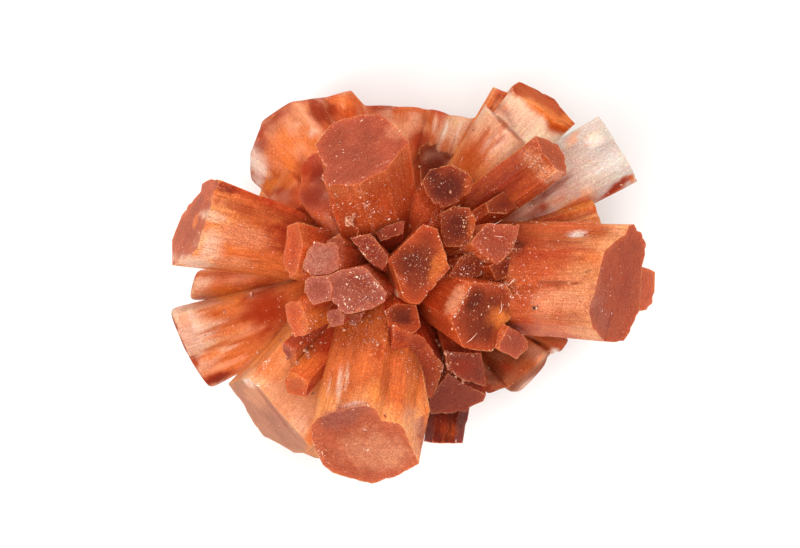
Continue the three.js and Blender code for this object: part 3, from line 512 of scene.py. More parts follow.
def heart_surface(centre, radius, step):
    """A ball: rings of latitude and columns of longitude, closed by a point at each pole."""
    rings = int(np.pi * radius / step)
    latitude = np.pi * np.arange(1, rings) / rings
    longitude = 2 * np.pi * np.arange(2 * rings) / (2 * rings)
    lat, lon = np.meshgrid(latitude, longitude, indexing="ij")
    ball = np.stack([np.sin(lat) * np.cos(lon), np.sin(lat) * np.sin(lon), np.cos(lat)], -1).reshape(-1, 3)
    points = np.vstack([(0, 0, 1), ball, (0, 0, -1)]) * radius + centre
    ring = 1 + np.arange(len(ball)).reshape(lat.shape)
    a, b = ring[:-1], ring[1:]
    quads = np.stack([a, b, np.roll(b, -1, 1), np.roll(a, -1, 1)], axis=-1).reshape(-1, 4)
    top = np.column_stack([np.zeros(2 * rings, int), ring[0], np.roll(ring[0], -1)])
    bottom = np.column_stack([np.full(2 * rings, len(points) - 1), np.roll(ring[-1], -1), ring[-1]])
    return points, np.vstack([quads[:, [0, 1, 2]], quads[:, [0, 2, 3]], top, bottom])


def outside_only(points, triangles, tags):
    """Keeps the connected sheet with the most faces: the lowest point number spreads along edges until
    it settles, so that points of one sheet share one number."""
    label = np.arange(len(points))
    ends = np.vstack([triangles[:, [0, 1]], triangles[:, [1, 2]]])
    while True:
        lowest = np.minimum(label[ends[:, 0]], label[ends[:, 1]])
        before = label.copy()
        np.minimum.at(label, ends[:, 0], lowest)
        np.minimum.at(label, ends[:, 1], lowest)
        label = label[label]
        if np.array_equal(before, label):
            break
    face_label = label[triangles[:, 0]]
    values, counts = np.unique(face_label, return_counts=True)
    keep = face_label == values[counts.argmax()]
    used, numbers = np.unique(triangles[keep], return_inverse=True)
    return points[used], numbers.reshape(-1, 3), tags[keep], len(values) - 1


def relax(values, triangles, weight, rounds):
    """Every round moves each value by its weight towards the mean of those it shares an edge with."""
    ends = np.vstack([triangles[:, [0, 1]], triangles[:, [1, 2]], triangles[:, [2, 0]]])
    count = np.bincount(ends[:, 0], minlength=len(values))
    for _ in range(rounds):
        columns = [np.bincount(ends[:, 0], column[ends[:, 1]], len(values)) for column in values.T]
        total = np.column_stack(columns)
        values = values + weight[:, None] * (total / count[:, None] - values)
    return values


def join(pieces):
    """The union of closed meshes: points in mm, triangles, and the number of the piece each is from."""
    group = bpy.data.collections.new("posts to join")
    bpy.context.scene.collection.children.link(group)
    items = []
    for number, (points, triangles) in enumerate(pieces):
        item = to_object(f"post {number}", points, triangles)
        tag = item.data.attributes.new("post", "INT", "FACE")
        tag.data.foreach_set("value", np.full(len(triangles), number, np.int32))
        items.append(item)
    for item in items[1:]:
        group.objects.link(item)
    union = items[0].modifiers.new("union", "BOOLEAN")
    union.operation, union.solver, union.operand_type = "UNION", "MANIFOLD", "COLLECTION"
    union.collection = group
    graph = bpy.context.evaluated_depsgraph_get()
    mesh = bpy.data.meshes.new_from_object(items[0].evaluated_get(graph))
    mesh.calc_loop_triangles()
    points = np.zeros(len(mesh.vertices) * 3, np.float32)
    mesh.vertices.foreach_get("co", points)
    triangles = np.zeros(len(mesh.loop_triangles) * 3, np.int32)
    mesh.loop_triangles.foreach_get("vertices", triangles)
    polygon = np.zeros(len(mesh.loop_triangles), np.int32)
    mesh.loop_triangles.foreach_get("polygon_index", polygon)
    tags = np.zeros(len(mesh.polygons), np.int32)
    mesh.attributes["post"].data.foreach_get("value", tags)
    for item in items:
        spent = item.data
        bpy.data.objects.remove(item)
        bpy.data.meshes.remove(spent)
    bpy.data.collections.remove(group)
    bpy.data.meshes.remove(mesh)
    return points.reshape(-1, 3).astype(float) * 1000, triangles.reshape(-1, 3), tags[polygon]


pieces = [heart_surface(np.array(GROWTH_CENTRE), HEART_RADIUS, HEART_STEP)]
for number, (name, spec) in enumerate(CRYSTALS.items(), 1):
    head, facing, across, up, outline = HEADS[name]
    root = np.array(spec.get("grows_from", GROWTH_CENTRE), float)
    step = STEP_UNDER if "at" in spec else STEP
    for_size = 0.3 + np.ptp(outline, axis=0).max() / 14
    rough = min(CALM.get(spec["skin"], 1.0), for_size) * (1 - wear[number])
    surface, faces = post_surface(head, facing, across, up, outline, root, spec["root"],
                                  number * SEEDS_PER_POST, step, rough)
    surface[:, 2] = np.maximum(surface[:, 2], 0)
    pieces.append((surface, faces))
print(sum(len(t) for _, t in pieces), "triangles before the union")
points, triangles, post_of = join([(p + SHIFT, t) for p, t in pieces])
points, triangles, post_of, pockets = outside_only(points, triangles, post_of)
print(len(triangles), "triangles in the skin,", pockets, "pockets left out")
worn_here = np.bincount(triangles.ravel(), np.repeat(wear[post_of], 3)) / np.bincount(triangles.ravel())
points = relax(points, triangles, worn_here, WEAR_ROUNDS)
cluster = to_object("aragonite_posts", points, triangles)


# %% [markdown]
# ## Where each corner lies on its post
# The union forgets everything but the post's number. The rest can be worked out backwards: the
# distance behind the end's plane gives how far down the post a corner is, and what is left, divided
# by the width there, gives its place in the outline. Values are kept per face corner, because two
# posts that meet share points but not these places.

# %% Places along and across the posts
RIDGE_BEND = 32  # an outline that turns by more than these degrees has a ridge there
END_DEPTH = 0.55  # mm that the end's own relief stays within
END_LEVEL = 0.55  # the least cosine between a face of the end and the way the end faces
FAR = 9.0  # mm, for corners that have no edge near them


def stacked(values):
    """One row per post, with the heart first."""
    return np.array([*values], float)


heads = stacked([(*GROWTH_CENTRE[:2], 60.0), *(HEADS[n][0] for n in CRYSTALS)])
facings = stacked([(0, 0, 1), *(HEADS[n][1] for n in CRYSTALS)])
acrosses = stacked([(1, 0, 0), *(HEADS[n][2] for n in CRYSTALS)])
ups = stacked([(0, 1, 0), *(HEADS[n][3] for n in CRYSTALS)])
roots = stacked([GROWTH_CENTRE, *(s.get("grows_from", GROWTH_CENTRE) for s in CRYSTALS.values())])
root_widths = stacked([1.0, *(s["root"] for s in CRYSTALS.values())])

corner_post = np.repeat(post_of, 3)
corner_point = points[triangles].reshape(-1, 3) - SHIFT
axis = (roots - heads)[corner_post]
facing_here = facings[corner_post]
from_head = corner_point - heads[corner_post]
depth = (from_head * facing_here).sum(1) / (axis * facing_here).sum(1)
flat = from_head - depth[:, None] * axis
width = 1 + (root_widths[corner_post] - 1) * depth
place = np.column_stack([(flat * acrosses[corner_post]).sum(1) / width,
                         (flat * ups[corner_post]).sum(1) / width,
                         depth * np.linalg.norm(axis, axis=1)])
along = place[:, 2]

edges = points[triangles]
normal = np.cross(edges[:, 1] - edges[:, 0], edges[:, 2] - edges[:, 0])
area = np.linalg.norm(normal, axis=1) / 2
normal /= np.maximum(2 * area, 1e-12)[:, None]
face_along = along.reshape(-1, 3).mean(1)
on_end = (face_along < END_DEPTH) & ((normal * facings[post_of]).sum(1) > END_LEVEL) & (post_of > 0)
corner_end = np.repeat(on_end, 3)
inset = np.full(len(corner_post), FAR)
to_ridge = np.full(len(corner_post), FAR)
centred = np.ones(len(corner_post))
for number, name in enumerate(CRYSTALS, 1):
    mine = corner_post == number
    outline = HEADS[name][4]
    before, after = outline - np.roll(outline, 1, 0), np.roll(outline, -1, 0) - outline
    crossed = before[:, 0] * after[:, 1] - before[:, 1] * after[:, 0]
    bend = np.degrees(np.arctan2(crossed, (before * after).sum(1)))
    ridges = outline[bend > RIDGE_BEND] if (bend > RIDGE_BEND).any() else outline
    spread = place[mine][:, None, :2] - ridges[None]
    to_ridge[mine] = np.hypot(spread[..., 0], spread[..., 1]).min(1)
    inset[mine] = outline_inset(place[mine][:, :2], outline)
    centred[mine] = np.hypot(*((place[mine][:, :2] - outline.mean(0)) / (np.ptp(outline, axis=0) / 2)).T)
to_edge = np.where(corner_end, inset, np.minimum(np.abs(along), to_ridge + 0.05))
print("ends cover", round(area[on_end].sum() / area.sum() * 100), "% of the skin")

# %% [markdown]
# ## Colours
# Iron oxide gives aragonite its rust, and there is least of it in the last growth, so a post is
# deep rust at the root, orange along its length and pale near the end. The deep root colour is also
# painted shade, for the shade down between the posts. Its end face is duller, with a brighter edge
# that is painted glow, where light leaks out of the side. The sides of the short posts of the crown
# get a painted glow, a warm orange down in the cracks, for light that comes through them from all
# round. Each skin below is one such family, as sRGB hex colours that one function turns into
# Blender's linear values.

# %% Skins, and one function for hex colours
def linear(code):
    """An sRGB hex colour as linear red, green and blue."""
    value = np.array([int(code[i:i + 2], 16) for i in (1, 3, 5)]) / 255
    return np.where(value <= 0.04045, value / 12.92, ((value + 0.055) / 1.055) ** 2.4)


SKINS = {
    # skin: root, body, tip, middle of the end, edge of the end (where it is brighter, painted glow),
    #       then the tip's length, the body's length and the edge's width in mm, and the clearness
    "amber": ("#a8401c", "#d87440", "#ef9c64", "#b65c3e", "#c06846", 4, 12, 1.2, 0.03),
    "copper": ("#7a2c16", "#c4643a", "#dc9060", "#a84c2c", "#ba5832", 5, 11, 1.0, 0.03),
    "rust": ("#7a2a14", "#c05830", "#c86a40", "#a8543c", "#b85c40", 3, 12, 0.8, 0.05),
    "clay": ("#7a2c16", "#a84c26", "#b25a32", "#a84c20", "#b0522a", 3, 12, 0.8, 0.05),
    "raw": ("#7a2a14", "#b8482a", "#c05434", "#b5502c", "#c86038", 2, 9, 1.2, 0.05),
    # The darkest skin: the low prism at the south foot is painted dark brown.
    "soot": ("#30100a", "#6a2a18", "#7a3222", "#6a3426", "#7a4030", 3, 8, 0.8, 0.05),
    "coral": ("#8a3216", "#c85c2e", "#dd7c4c", "#c45c38", "#d06c44", 2, 9, 0.6, 0.05),
    "peach": ("#b85224", "#de8a56", "#e8a880", "#b87e68", "#c08a6e", 5, 12, 0.8, 0.05),
    "milky": ("#a0421c", "#e08248", "#eab896", "#dca484", "#c87850", 6, 9, 0.6, 0.08),
    "milk": ("#b8502c", "#e8c0ac", "#f2e4da", "#e6ccb8", "#dcac90", 8, 9, 0.5, 0.3),
    "stained": ("#96361c", "#e0824c", "#d8906a", "#bd6a4c", "#a85038", 3, 9, 1.2, 0.05),
    "window": ("#b85a2c", "#f8d0b4", "#b45018", "#a84610", "#a03e0c", 0.9, 12, 1.6, 0.2),
    "smoke": ("#46200f", "#98502e", "#a86040", "#9c5a3c", "#8c4a2c", 3, 10, 0.8, 0.03),
    "ember": ("#762610", "#b84c24", "#cc5c2a", "#7c3620", "#b04e28", 2, 9, 1.4, 0.03),
    "rose": ("#7a2c16", "#b04e30", "#c06a50", "#9e5646", "#b46856", 2, 8, 0.6, 0.03),
    "plum": ("#5c2214", "#8a4026", "#944630", "#8c402c", "#9c4e38", 2, 8, 0.6, 0.05),
    "shade": ("#4c180a", "#8a3a1c", "#984422", "#742a16", "#8e3e20", 2, 8, 1.2, 0.05),
}
chosen = [SKINS["rust"]] + [SKINS[s["skin"]] for s in CRYSTALS.values()]
tints = np.array([[linear(code) for code in skin[:5]] for skin in chosen])
spans = np.array([skin[5:] for skin in chosen], float)
print(len(SKINS), "skins")

# %% [markdown]
# ## Stains
# Some colour belongs to one place: rust soaked in along a crack, a milky wisp where the crystal is
# full of tiny bubbles, or a frosted scrape. Some stains are painted light and shade instead:
# highlights, glints and glow, and shadow in a few places, and a comment says so where one stands.
# Nine pigments are enough for all of them. Each stain is an ellipse seen from above, in mm, with a
# wavering edge, and it colours only the posts whose names begin as given. A stain is opaque, so it
# also takes the clearness away.

# %% The stains
PIGMENTS = {
    "frost": "#fbe6da", "milk": "#efc4ab", "peach": "#e9a27c", "orange": "#e4813f", "ember": "#c4602c",
    "rust": "#a43c1e", "oxblood": "#85301f", "umber": "#5a2314", "mauve": "#a05c4c"}
STAINS = {
    # pigment: (posts, x, y, half length, half width, turn, strength)
    "frost": [
        # Painted highlight: the east spire's white spot at 16.4, 4.7.
        ("east_window", 18.2, 14.1, 1.4, 0.8, 20, 0.8), ("east_spire", 16.4, 4.7, 0.9, 0.45, 0, 0.95),
        ("west_fan", -15.9, -1.4, 0.45, 0.4, 0, 0.95),
        ("south_west_spire", -16.1, -10.1, 0.9, 0.4, -40, 0.8),
        # Painted highlights: the south spire's white streak at -5.7, -12.2 and the east heel's glint at 14.2,
        # -7.1.
        ("south_spire", -5.7, -12.2, 1.1, 0.25, 10, 1.0), ("east_heel", 14.2, -7.1, 0.7, 0.4, 20, 0.8),
        # Painted light: the north-west face at -15.4, 11.6 is lightened where it turns away from the lamps.
        ("north_west", -15.4, 11.6, 2.4, 1.0, 95, 0.75), ("west_fan", -21.6, -4.4, 1.6, 0.8, 115, 0.7),
        ("north_east_ridge", 9.6, 14.7, 2.0, 0.35, 40, 0.45),
        # The thin pale line at 11.9, -10.0 is a frosted streak with a painted highlight on it.
        ("north_east_ridge", 8.2, 14.3, 1.8, 0.25, 48, 0.35), ("", 11.9, -10.0, 1.2, 0.16, 38, 0.85),
        ("north_", 3.4, 15.0, 1.6, 0.2, 74, 0.7), ("north_", 4.6, 14.7, 1.5, 0.17, 70, 0.6),
        ("north_east_ridge", 7.4, 13.6, 1.2, 0.18, 52, 0.5), ("west_fan", -21.9, -6.6, 0.9, 0.35, 25, 0.6),
        ("west_fan", -22.6, -4.9, 0.8, 0.3, 20, 0.5)],
    "milk": [
        ("west_spire", -19.9, 3.5, 2.0, 1.5, 80, 0.8), ("west_spire", -19.7, 6.4, 1.6, 0.7, -10, 0.7),
        # Painted highlight: the west spire's pale lobe at -21.4, 1.9.
        ("west_spire", -21.4, 1.9, 2.4, 0.7, -8, 0.9), ("north_east_ridge", 8.9, 14.1, 2.4, 0.8, 45, 0.8),
        ("north_east_ridge", 8.1, 16.9, 1.2, 0.4, -50, 0.8),
        ("north_east_window", 11.2, 16.4, 3.0, 1.6, 50, 0.6), ("east_window", 13.9, 7.8, 2.2, 0.6, 15, 0.7),
        ("west_fan", -22.4, -5.4, 2.8, 1.6, 115, 0.9), ("west_fan", -20.8, -0.2, 1.3, 0.7, 10, 0.8),
        ("south_spire", -7.1, -10.4, 1.8, 0.3, 83, 0.7), ("south_spire", -8.2, -10.7, 1.4, 0.16, 80, 0.6),
        ("south_spire", -6.4, -9.7, 1.5, 0.15, 83, 0.6),
        ("south_east_end", 11.4, -10.4, 1.6, 0.25, 40, 0.8), ("north_", 5.5, 16.3, 2.0, 0.8, 110, 0.5),
        ("west_fan", -21.0, -5.2, 2.4, 1.8, 115, 0.6), ("north_west", -15.5, 14.1, 0.6, 0.5, 0, 0.4),
        ("north_", -9.9, 14.9, 1.0, 0.4, 15, 0.9), ("north_east_window", 8.9, 16.9, 0.5, 0.5, 0, 0.6),
        ("north_east_window", 10.2, 16.7, 0.9, 0.5, 50, 0.6),
        ("east_window", 18.1, 15.3, 2.4, 1.2, 35, 0.25),
        ("south_west_spire", -11.1, -14.2, 1.5, 1.0, -50, 0.4), ("north_", 2.4, 15.8, 1.2, 0.3, 80, 0.6),
        ("crown_west", -9.1, 2.2, 1.8, 1.6, 0, 0.12), ("north_west", -11.6, 15.6, 0.9, 0.35, 30, 0.5),
        ("west_fan", -19.6, -4.3, 1.4, 0.22, 18, 0.6), ("west_fan", -18.2, -6.7, 1.6, 0.2, 22, 0.6),
        ("north_west", -15.2, 12.6, 0.9, 0.5, 80, 0.5), ("east_window", 17.6, 9.2, 0.9, 0.5, 30, 0.4),
        # Painted light: milk on the back fan at -20.8, -1.5 lightens a hollow that lies in shade.
        ("west_fan_back", -20.8, -1.5, 2.6, 0.9, 0, 0.8),
        ("north_east_prism", 14.4, 10.4, 1.0, 0.4, 25, 0.5)],
    "peach": [
        ("west_spire", -19.1, 8.0, 1.2, 0.5, -20, 0.6), ("north_", -11.1, 16.9, 1.6, 0.8, -60, 0.7),
        ("north_west", -14.1, 15.3, 1.5, 1.0, 30, 0.5), ("north_ridge", -0.8, 15.9, 2.2, 1.3, 100, 0.9),
        ("north_east_window", 8.9, 17.3, 1.0, 0.6, 30, 0.7), ("east_spire", 20.6, 5.0, 0.8, 0.7, 0, 0.7),
        ("west_fan", -18.6, -8.4, 2.6, 0.35, 22, 0.8), ("west_fan", -15.6, -8.4, 3.0, 0.8, 40, 0.6),
        ("south_west_spire", -15.6, -11.4, 2.0, 1.0, -52, 0.5),
        ("south_west_spire", -12.1, -11.9, 2.4, 1.6, -50, 0.5),
        ("south_spire", 0.1, -13.9, 2.2, 1.0, 100, 0.7), ("west_spire", -17.0, 4.4, 3.6, 1.4, -8, 0.5),
        # The east spire's paler lower facet, here at 15.2, -1.9 and at 15.9, -4.4 and 15.6, -0.9 below, is
        # partly its own colour and partly painted light on its lit side.
        ("west_spire", -18.3, 1.9, 3.4, 0.8, -5, 0.45), ("east_spire", 15.2, -1.9, 3.4, 1.1, 2, 0.6),
        # Painted light: the east hexagon's pale bevel at 4.4, -1.9, and on the next line the keystone's pale
        # flank at -1.9, -0.9.
        ("crown_east_hexagon", 4.4, -1.9, 1.9, 0.8, 62, 0.8),
        ("crown_keystone", -1.9, -0.9, 1.6, 0.4, -60, 0.8),
        ("north_east_prism", 12.3, 11.8, 2.2, 0.8, -45, 0.4),
        ("south_east_end", 10.9, -9.0, 2.4, 1.0, 35, 0.15), ("east_spire", 15.9, -4.4, 4.0, 1.2, 0, 0.12),
        ("north_", -6.9, 17.9, 0.45, 0.8, 15, 0.8), ("north_west", -12.4, 15.0, 1.5, 0.9, 20, 0.6),
        ("north_west", -11.1, 13.2, 0.8, 0.7, 60, 0.5), ("north_east", 8.8, 17.9, 0.6, 0.6, 0, 0.6),
        ("east_window", 16.2, 14.2, 0.9, 0.6, 50, 0.85), ("east_window", 17.4, 8.7, 0.9, 0.5, 30, 0.6),
        ("west_fan", -22.6, -3.9, 1.0, 0.8, 110, 0.5), ("west_fan", -21.1, -3.9, 1.0, 0.5, 20, 0.45),
        ("north_west", -13.6, 11.6, 1.0, 0.8, 0, 0.3), ("south_spire", -3.6, -16.8, 4.0, 2.2, -8, 0.45),
        ("", 13.0, -7.7, 0.9, 0.5, 40, 0.7), ("south_spire", -1.6, -17.2, 1.6, 1.4, 0, 0.3),
        ("east_spire", 15.6, -0.9, 3.6, 2.0, 0, 0.25), ("north_", -1.4, 15.0, 1.2, 1.2, 0, 0.4),
        ("north_east_prism", 13.4, 10.7, 1.2, 0.6, 20, 0.5), ("north_ridge", 1.2, 15.4, 0.9, 0.9, 0, 0.45),
        ("east_spire", 13.0, -2.4, 1.6, 2.0, 0, 0.45)],
    "orange": [
        ("west_spire", -21.4, 6.1, 0.9, 0.25, 75, 0.8), ("north_fan", -6.6, 18.1, 1.2, 0.8, 0, 0.6),
        ("south_west_spire", -9.9, -15.4, 1.8, 0.6, 80, 0.7),
        # Painted glow: orange on the keystone at 2.9, 1.9, for light coming through its side.
        ("south_spire", 1.7, -13.9, 2.0, 0.5, 95, 0.8), ("crown_keystone", 2.9, 1.9, 2.4, 0.9, 60, 0.5),
        # Painted glow: orange on the east hexagon's end at 8.7, -3.7.
        ("crown_east_hexagon", 8.7, -3.7, 1.5, 1.2, 0, 0.6), ("east_window", 16.6, 7.6, 2.0, 0.9, 15, 0.8),
        ("crown_south_west_block", -8.8, -3.8, 2.4, 1.4, 0, 0.8),
        ("south_knob", -10.4, -8.6, 2.8, 2.0, 45, 0.6),
        ("north_east_window", 13.0, 17.2, 3.4, 0.7, -34, 0.85),
        ("east_window", 22.0, 10.2, 0.6, 0.5, 0, 0.9), ("west_fan", -20.1, -7.4, 1.4, 0.5, 20, 0.75),
        # Painted light: orange on the west fan at -18.0, -1.2 lightens a shaded cleft.
        ("west_fan", -19.1, -6.4, 1.4, 0.4, 20, 0.45), ("west_fan", -18.0, -1.2, 3.4, 0.9, -4, 0.85),
        ("south_spire", -8.6, -11.4, 0.7, 1.2, 0, 0.5), ("south_spire", -3.6, -11.1, 0.8, 1.4, 0, 0.6),
        ("south_spire", 0.1, -11.2, 1.2, 1.8, 0, 0.6), ("crown_south_button", -1.6, -4.4, 0.5, 0.4, 0, 0.2),
        # Painted glow: more orange on the east hexagon's end at 9.0, -3.7.
        ("crown_east_hexagon", 9.0, -3.7, 0.9, 0.8, 0, 0.7), ("west_fan", -18.6, -4.9, 1.4, 0.6, 20, 0.45),
        ("south_west_spire", -15.0, -7.3, 3.8, 0.5, 41, 0.6), ("north_west", -12.4, 10.4, 1.4, 1.4, 0, 0.5),
        ("west_fan", -19.9, -5.6, 1.2, 0.25, 20, 0.5), ("east_window", 16.3, 7.2, 2.2, 0.7, 15, 0.4),
        ("west_spire", -17.6, 3.1, 2.6, 0.5, -8, 0.35),
        ("south_west_spire", -14.2, -8.8, 2.2, 1.1, -30, 0.55),
        ("north_west", -12.5, 13.4, 2.8, 0.9, 110, 0.6),
        ("north_west_shoulder", -14.2, 9.8, 0.9, 0.9, 0, 0.7),
        # Painted light: with the milk above, this orange lightens the back fan's shaded hollow.
        ("west_fan_back", -20.0, -1.5, 2.4, 0.8, 0, 0.4),
        ("north_east_window", 15.7, 16.2, 0.9, 0.8, 0, 0.7)],
    "ember": [
        ("north_", 5.9, 12.1, 2.0, 1.5, 60, 0.6), ("north_", 6.7, 13.1, 2.5, 1.5, 60, 0.6),
        ("east_window", 21.7, 12.1, 2.6, 0.18, -60, 0.6), ("east_spire", 18.4, 4.9, 1.2, 1.4, 0, 0.6),
        ("west_fan", -19.9, -3.2, 1.5, 0.35, 18, 0.7),
        # Painted glow: orange on the sides of the north-east and north hexagons' ends, here and on the next
        # line.
        ("crown_north_east_hexagon", 6.0, 5.6, 0.6, 1.6, 0, 0.6),
        ("crown_north_hexagon", 5.7, 9.1, 0.6, 1.8, 0, 0.5), ("west_spire", -19.6, 0.9, 4.0, 0.3, -5, 0.3),
        ("north_ridge", -1.0, 17.2, 3.4, 0.5, 0, 0.7), ("south_foot_prism", 3.1, -14.9, 1.3, 0.18, 92, 0.5),
        ("south_foot_prism", 4.1, -15.1, 1.0, 0.2, 88, 0.45),
        ("crown_shaded_wedge", -10.6, 10.2, 1.4, 2.0, 0, 0.4), ("north_", -5.6, 18.4, 1.2, 0.6, -25, 0.7),
        ("north_", 3.4, 13.6, 0.7, 1.0, 0, 0.7), ("north_", 5.9, 15.0, 0.5, 1.3, -20, 0.6),
        ("north_east_ridge", 9.0, 15.2, 1.2, 0.35, 45, 0.6),
        ("north_east_ridge", 8.0, 13.4, 1.6, 0.25, 48, 0.6),
        ("north_east_window", 12.9, 18.3, 3.0, 0.5, -31, 0.95),
        ("east_window", 20.4, 9.1, 2.5, 0.6, 38, 1.0), ("east_window", 14.9, 8.1, 0.8, 0.5, 20, 0.5),
        ("west_fan", -19.6, -3.4, 1.3, 0.25, 20, 0.75), ("west_spire", -19.0, 8.3, 1.7, 0.9, -15, 0.5),
        ("west_spire", -20.6, 5.1, 0.7, 0.7, 0, 0.25), ("west_spire", -18.1, 6.6, 1.4, 0.4, -12, 0.5),
        ("east_spire", 17.9, 2.4, 1.4, 1.0, 0, 0.6), ("south_foot_prism", 3.9, -15.0, 0.9, 0.9, 0, 0.35),
        ("east_heel", 13.4, -6.9, 0.9, 0.8, 0, 0.6), ("north_", -1.1, 16.6, 1.0, 1.0, 0, 0.5),
        ("north_east_ridge", 9.9, 14.6, 1.2, 0.4, 45, 0.25), ("", 11.6, -8.6, 1.6, 0.8, 35, 0.35),
        ("west_fan", -19.8, -6.6, 1.8, 0.22, 22, 0.7), ("west_fan", -18.4, -7.7, 1.6, 0.2, 24, 0.7),
        ("west_fan", -20.2, -5.0, 1.2, 0.18, 18, 0.7), ("west_fan", -17.8, -4.2, 1.6, 0.22, 16, 0.7),
        ("west_fan", -17.0, -6.0, 1.6, 0.2, 20, 0.7), ("west_fan", -20.9, -2.9, 1.2, 0.2, 14, 0.7),
        ("east_window", 19.2, 7.7, 1.9, 0.5, 30, 0.8), ("south_west_spire", -14.2, -8.1, 2.2, 0.8, 45, 0.3),
        ("west_fan_lower", -21.4, -7.4, 0.7, 0.6, -60, 0.6),
        ("north_east_window", 13.7, 17.2, 1.7, 0.35, -36, 0.4)],
    "rust": [
        # The west spire is painted darker along its top, from -14.9, 8.6.
        ("west_spire", -14.9, 8.6, 5.0, 0.9, -14, 0.75), ("west_spire", -10.3, 6.3, 4.5, 3.0, 0, 0.7),
        # Painted shadow: the thin line at 14.9, -0.3 on the east spire is the shadow under a ledge.
        ("east_spire", 14.9, -0.3, 2.6, 0.16, 1, 0.8), ("east_spire", 16.4, 3.1, 2.0, 0.16, 0, 0.6),
        ("east_spire", 10.9, -4.4, 2.0, 1.0, 0, 0.6), ("east_spire", 21.0, -1.0, 2.6, 0.5, 80, 0.5),
        ("west_fan", -19.6, -9.7, 1.6, 0.6, 15, 0.9), ("south_spire", -2.6, -13.4, 0.2, 0.2, 0, 1.0),
        ("south_spire", -6.1, -5.9, 3.0, 1.6, 0, 0.3), ("south_shoulder", 1.2, -8.0, 2.0, 1.5, 0, 0.4),
        ("west_spire", -17.1, 7.3, 2.4, 0.7, -12, 0.5), ("west_spire", -11.6, 3.9, 3.0, 2.0, -15, 0.85),
        ("north_west", -15.3, 14.3, 1.4, 0.6, 60, 0.55), ("north_ridge", 3.6, 17.0, 2.0, 0.4, -12, 0.6),
        ("north_east_ridge", 7.0, 14.2, 2.4, 0.3, 52, 0.5), ("north_east_nub", 9.2, 18.6, 1.0, 0.7, 0, 0.7),
        ("north_east_window", 10.4, 18.9, 1.0, 0.5, -30, 0.6), ("west_fan", -13.4, -3.4, 2.6, 2.8, 0, 0.5),
        ("north_west", -13.4, 16.4, 1.0, 0.5, 30, 0.5), ("north_", -7.8, 17.1, 0.7, 0.8, 20, 0.8),
        ("crown_shaded_wedge", -10.0, 11.4, 1.6, 1.5, 0, 0.75),
        ("north_west", -10.8, 11.0, 0.7, 1.6, 10, 0.6), ("east_window", 13.4, 7.6, 1.0, 0.5, 20, 0.75),
        ("west_fan", -21.6, -8.1, 0.9, 0.5, 115, 0.9), ("west_fan", -18.6, -9.3, 1.2, 0.4, 10, 0.6),
        ("west_fan", -21.9, -7.6, 0.9, 0.2, 20, 0.7), ("west_fan", -14.4, -2.6, 2.6, 3.0, 0, 0.8),
        ("east_spire", 11.2, 3.4, 2.2, 2.6, 0, 0.6), ("east_spire", 13.9, 2.6, 2.4, 0.6, 0, 0.5),
        ("east_spire", 10.9, -1.9, 1.2, 1.2, 0, 0.5), ("south_spire", -3.1, -6.9, 0.9, 1.0, 0, 0.5),
        ("south_brow", 5.0, -8.6, 1.4, 0.9, 0, 0.5), ("south_foot_prism", 2.9, -14.4, 1.4, 1.0, 0, 0.35),
        ("south_east", 6.9, -9.6, 0.8, 1.0, 20, 0.7), ("south_east", 9.6, -8.8, 0.8, 0.7, 20, 0.6),
        ("north_", 0.9, 14.1, 1.0, 1.2, 0, 0.6), ("north_east_window", 13.2, 18.2, 2.8, 0.4, -31, 0.4),
        ("east_window", 20.5, 9.4, 2.1, 0.36, 38, 0.95), ("east_window", 12.8, 7.0, 1.6, 0.6, 25, 0.6),
        ("", 7.6, -10.6, 0.7, 0.5, 0, 0.6), ("north_", 4.1, 13.4, 1.4, 0.2, 72, 0.6),
        ("north_east_ridge", 8.9, 14.0, 1.6, 0.16, 50, 0.6), ("north_west", -15.0, 14.9, 0.9, 0.5, 50, 0.5),
        ("crown_east_plate", 9.0, 4.2, 1.0, 0.8, 0, 0.4), ("", 0.9, 14.1, 1.2, 1.4, 0, 0.45),
        ("east_window", 20.3, 9.2, 1.8, 0.45, 38, 0.6), ("east_spire", 12.0, 0.4, 2.0, 4.0, 0, 0.2)],
    "oxblood": [
        ("west_spire", -18.3, 9.4, 1.4, 0.7, -20, 0.8), ("north_east", 9.7, 15.3, 2.6, 0.3, -45, 0.6),
        # Painted shadow: the east window's mark at 14.4, 9.4 is the shadow cast by the north-east prism.
        ("north_east_prism", 8.9, 9.1, 3.0, 1.2, 40, 0.6), ("east_window", 14.4, 9.4, 2.6, 0.5, 35, 0.7),
        ("east_spire", 19.7, -3.9, 1.4, 0.1, 75, 0.8), ("west_fan", -23.7, -4.1, 1.2, 0.3, 115, 0.9),
        ("west_fan", -22.8, -6.4, 1.6, 0.25, 115, 0.9), ("crown_west_table", -5.0, 0.0, 1.6, 0.9, -30, 0.5),
        ("crown_shaded_wedge", -9.8, 8.4, 1.6, 1.2, 0, 0.6),
        ("crown_shaded_wedge", -9.3, 10.6, 1.0, 1.2, 0, 0.7),
        ("crown_slanted_blade", -4.1, 3.1, 1.2, 0.7, -50, 0.4), ("", -1.1, -5.5, 0.7, 0.6, 0, 0.5),
        ("", 0.8, -6.3, 1.0, 0.9, 0, 0.5), ("west_fan", -18.9, -9.3, 1.1, 0.3, 20, 0.6),
        ("north_west", -13.7, 16.2, 0.8, 0.3, 40, 0.5), ("north_", -2.6, 17.4, 1.6, 0.35, 0, 0.5),
        ("north_", -9.2, 16.8, 2.2, 1.0, -60, 0.85), ("west_fan", -19.7, -9.9, 1.7, 0.5, 12, 0.8),
        ("east_window", 12.7, 8.1, 1.5, 0.7, 25, 0.65)],
    "umber": [
        # Painted shade: the dark middles of the keystone's and the hexagons' ends, here and on the next two
        # lines.
        ("east_spire", 17.6, 0.9, 0.16, 0.16, 0, 1.0), ("crown_keystone", -0.4, 1.9, 1.7, 1.6, 0, 0.55),
        ("crown_north_east_hexagon", 4.7, 5.6, 1.2, 1.2, 0, 0.6),
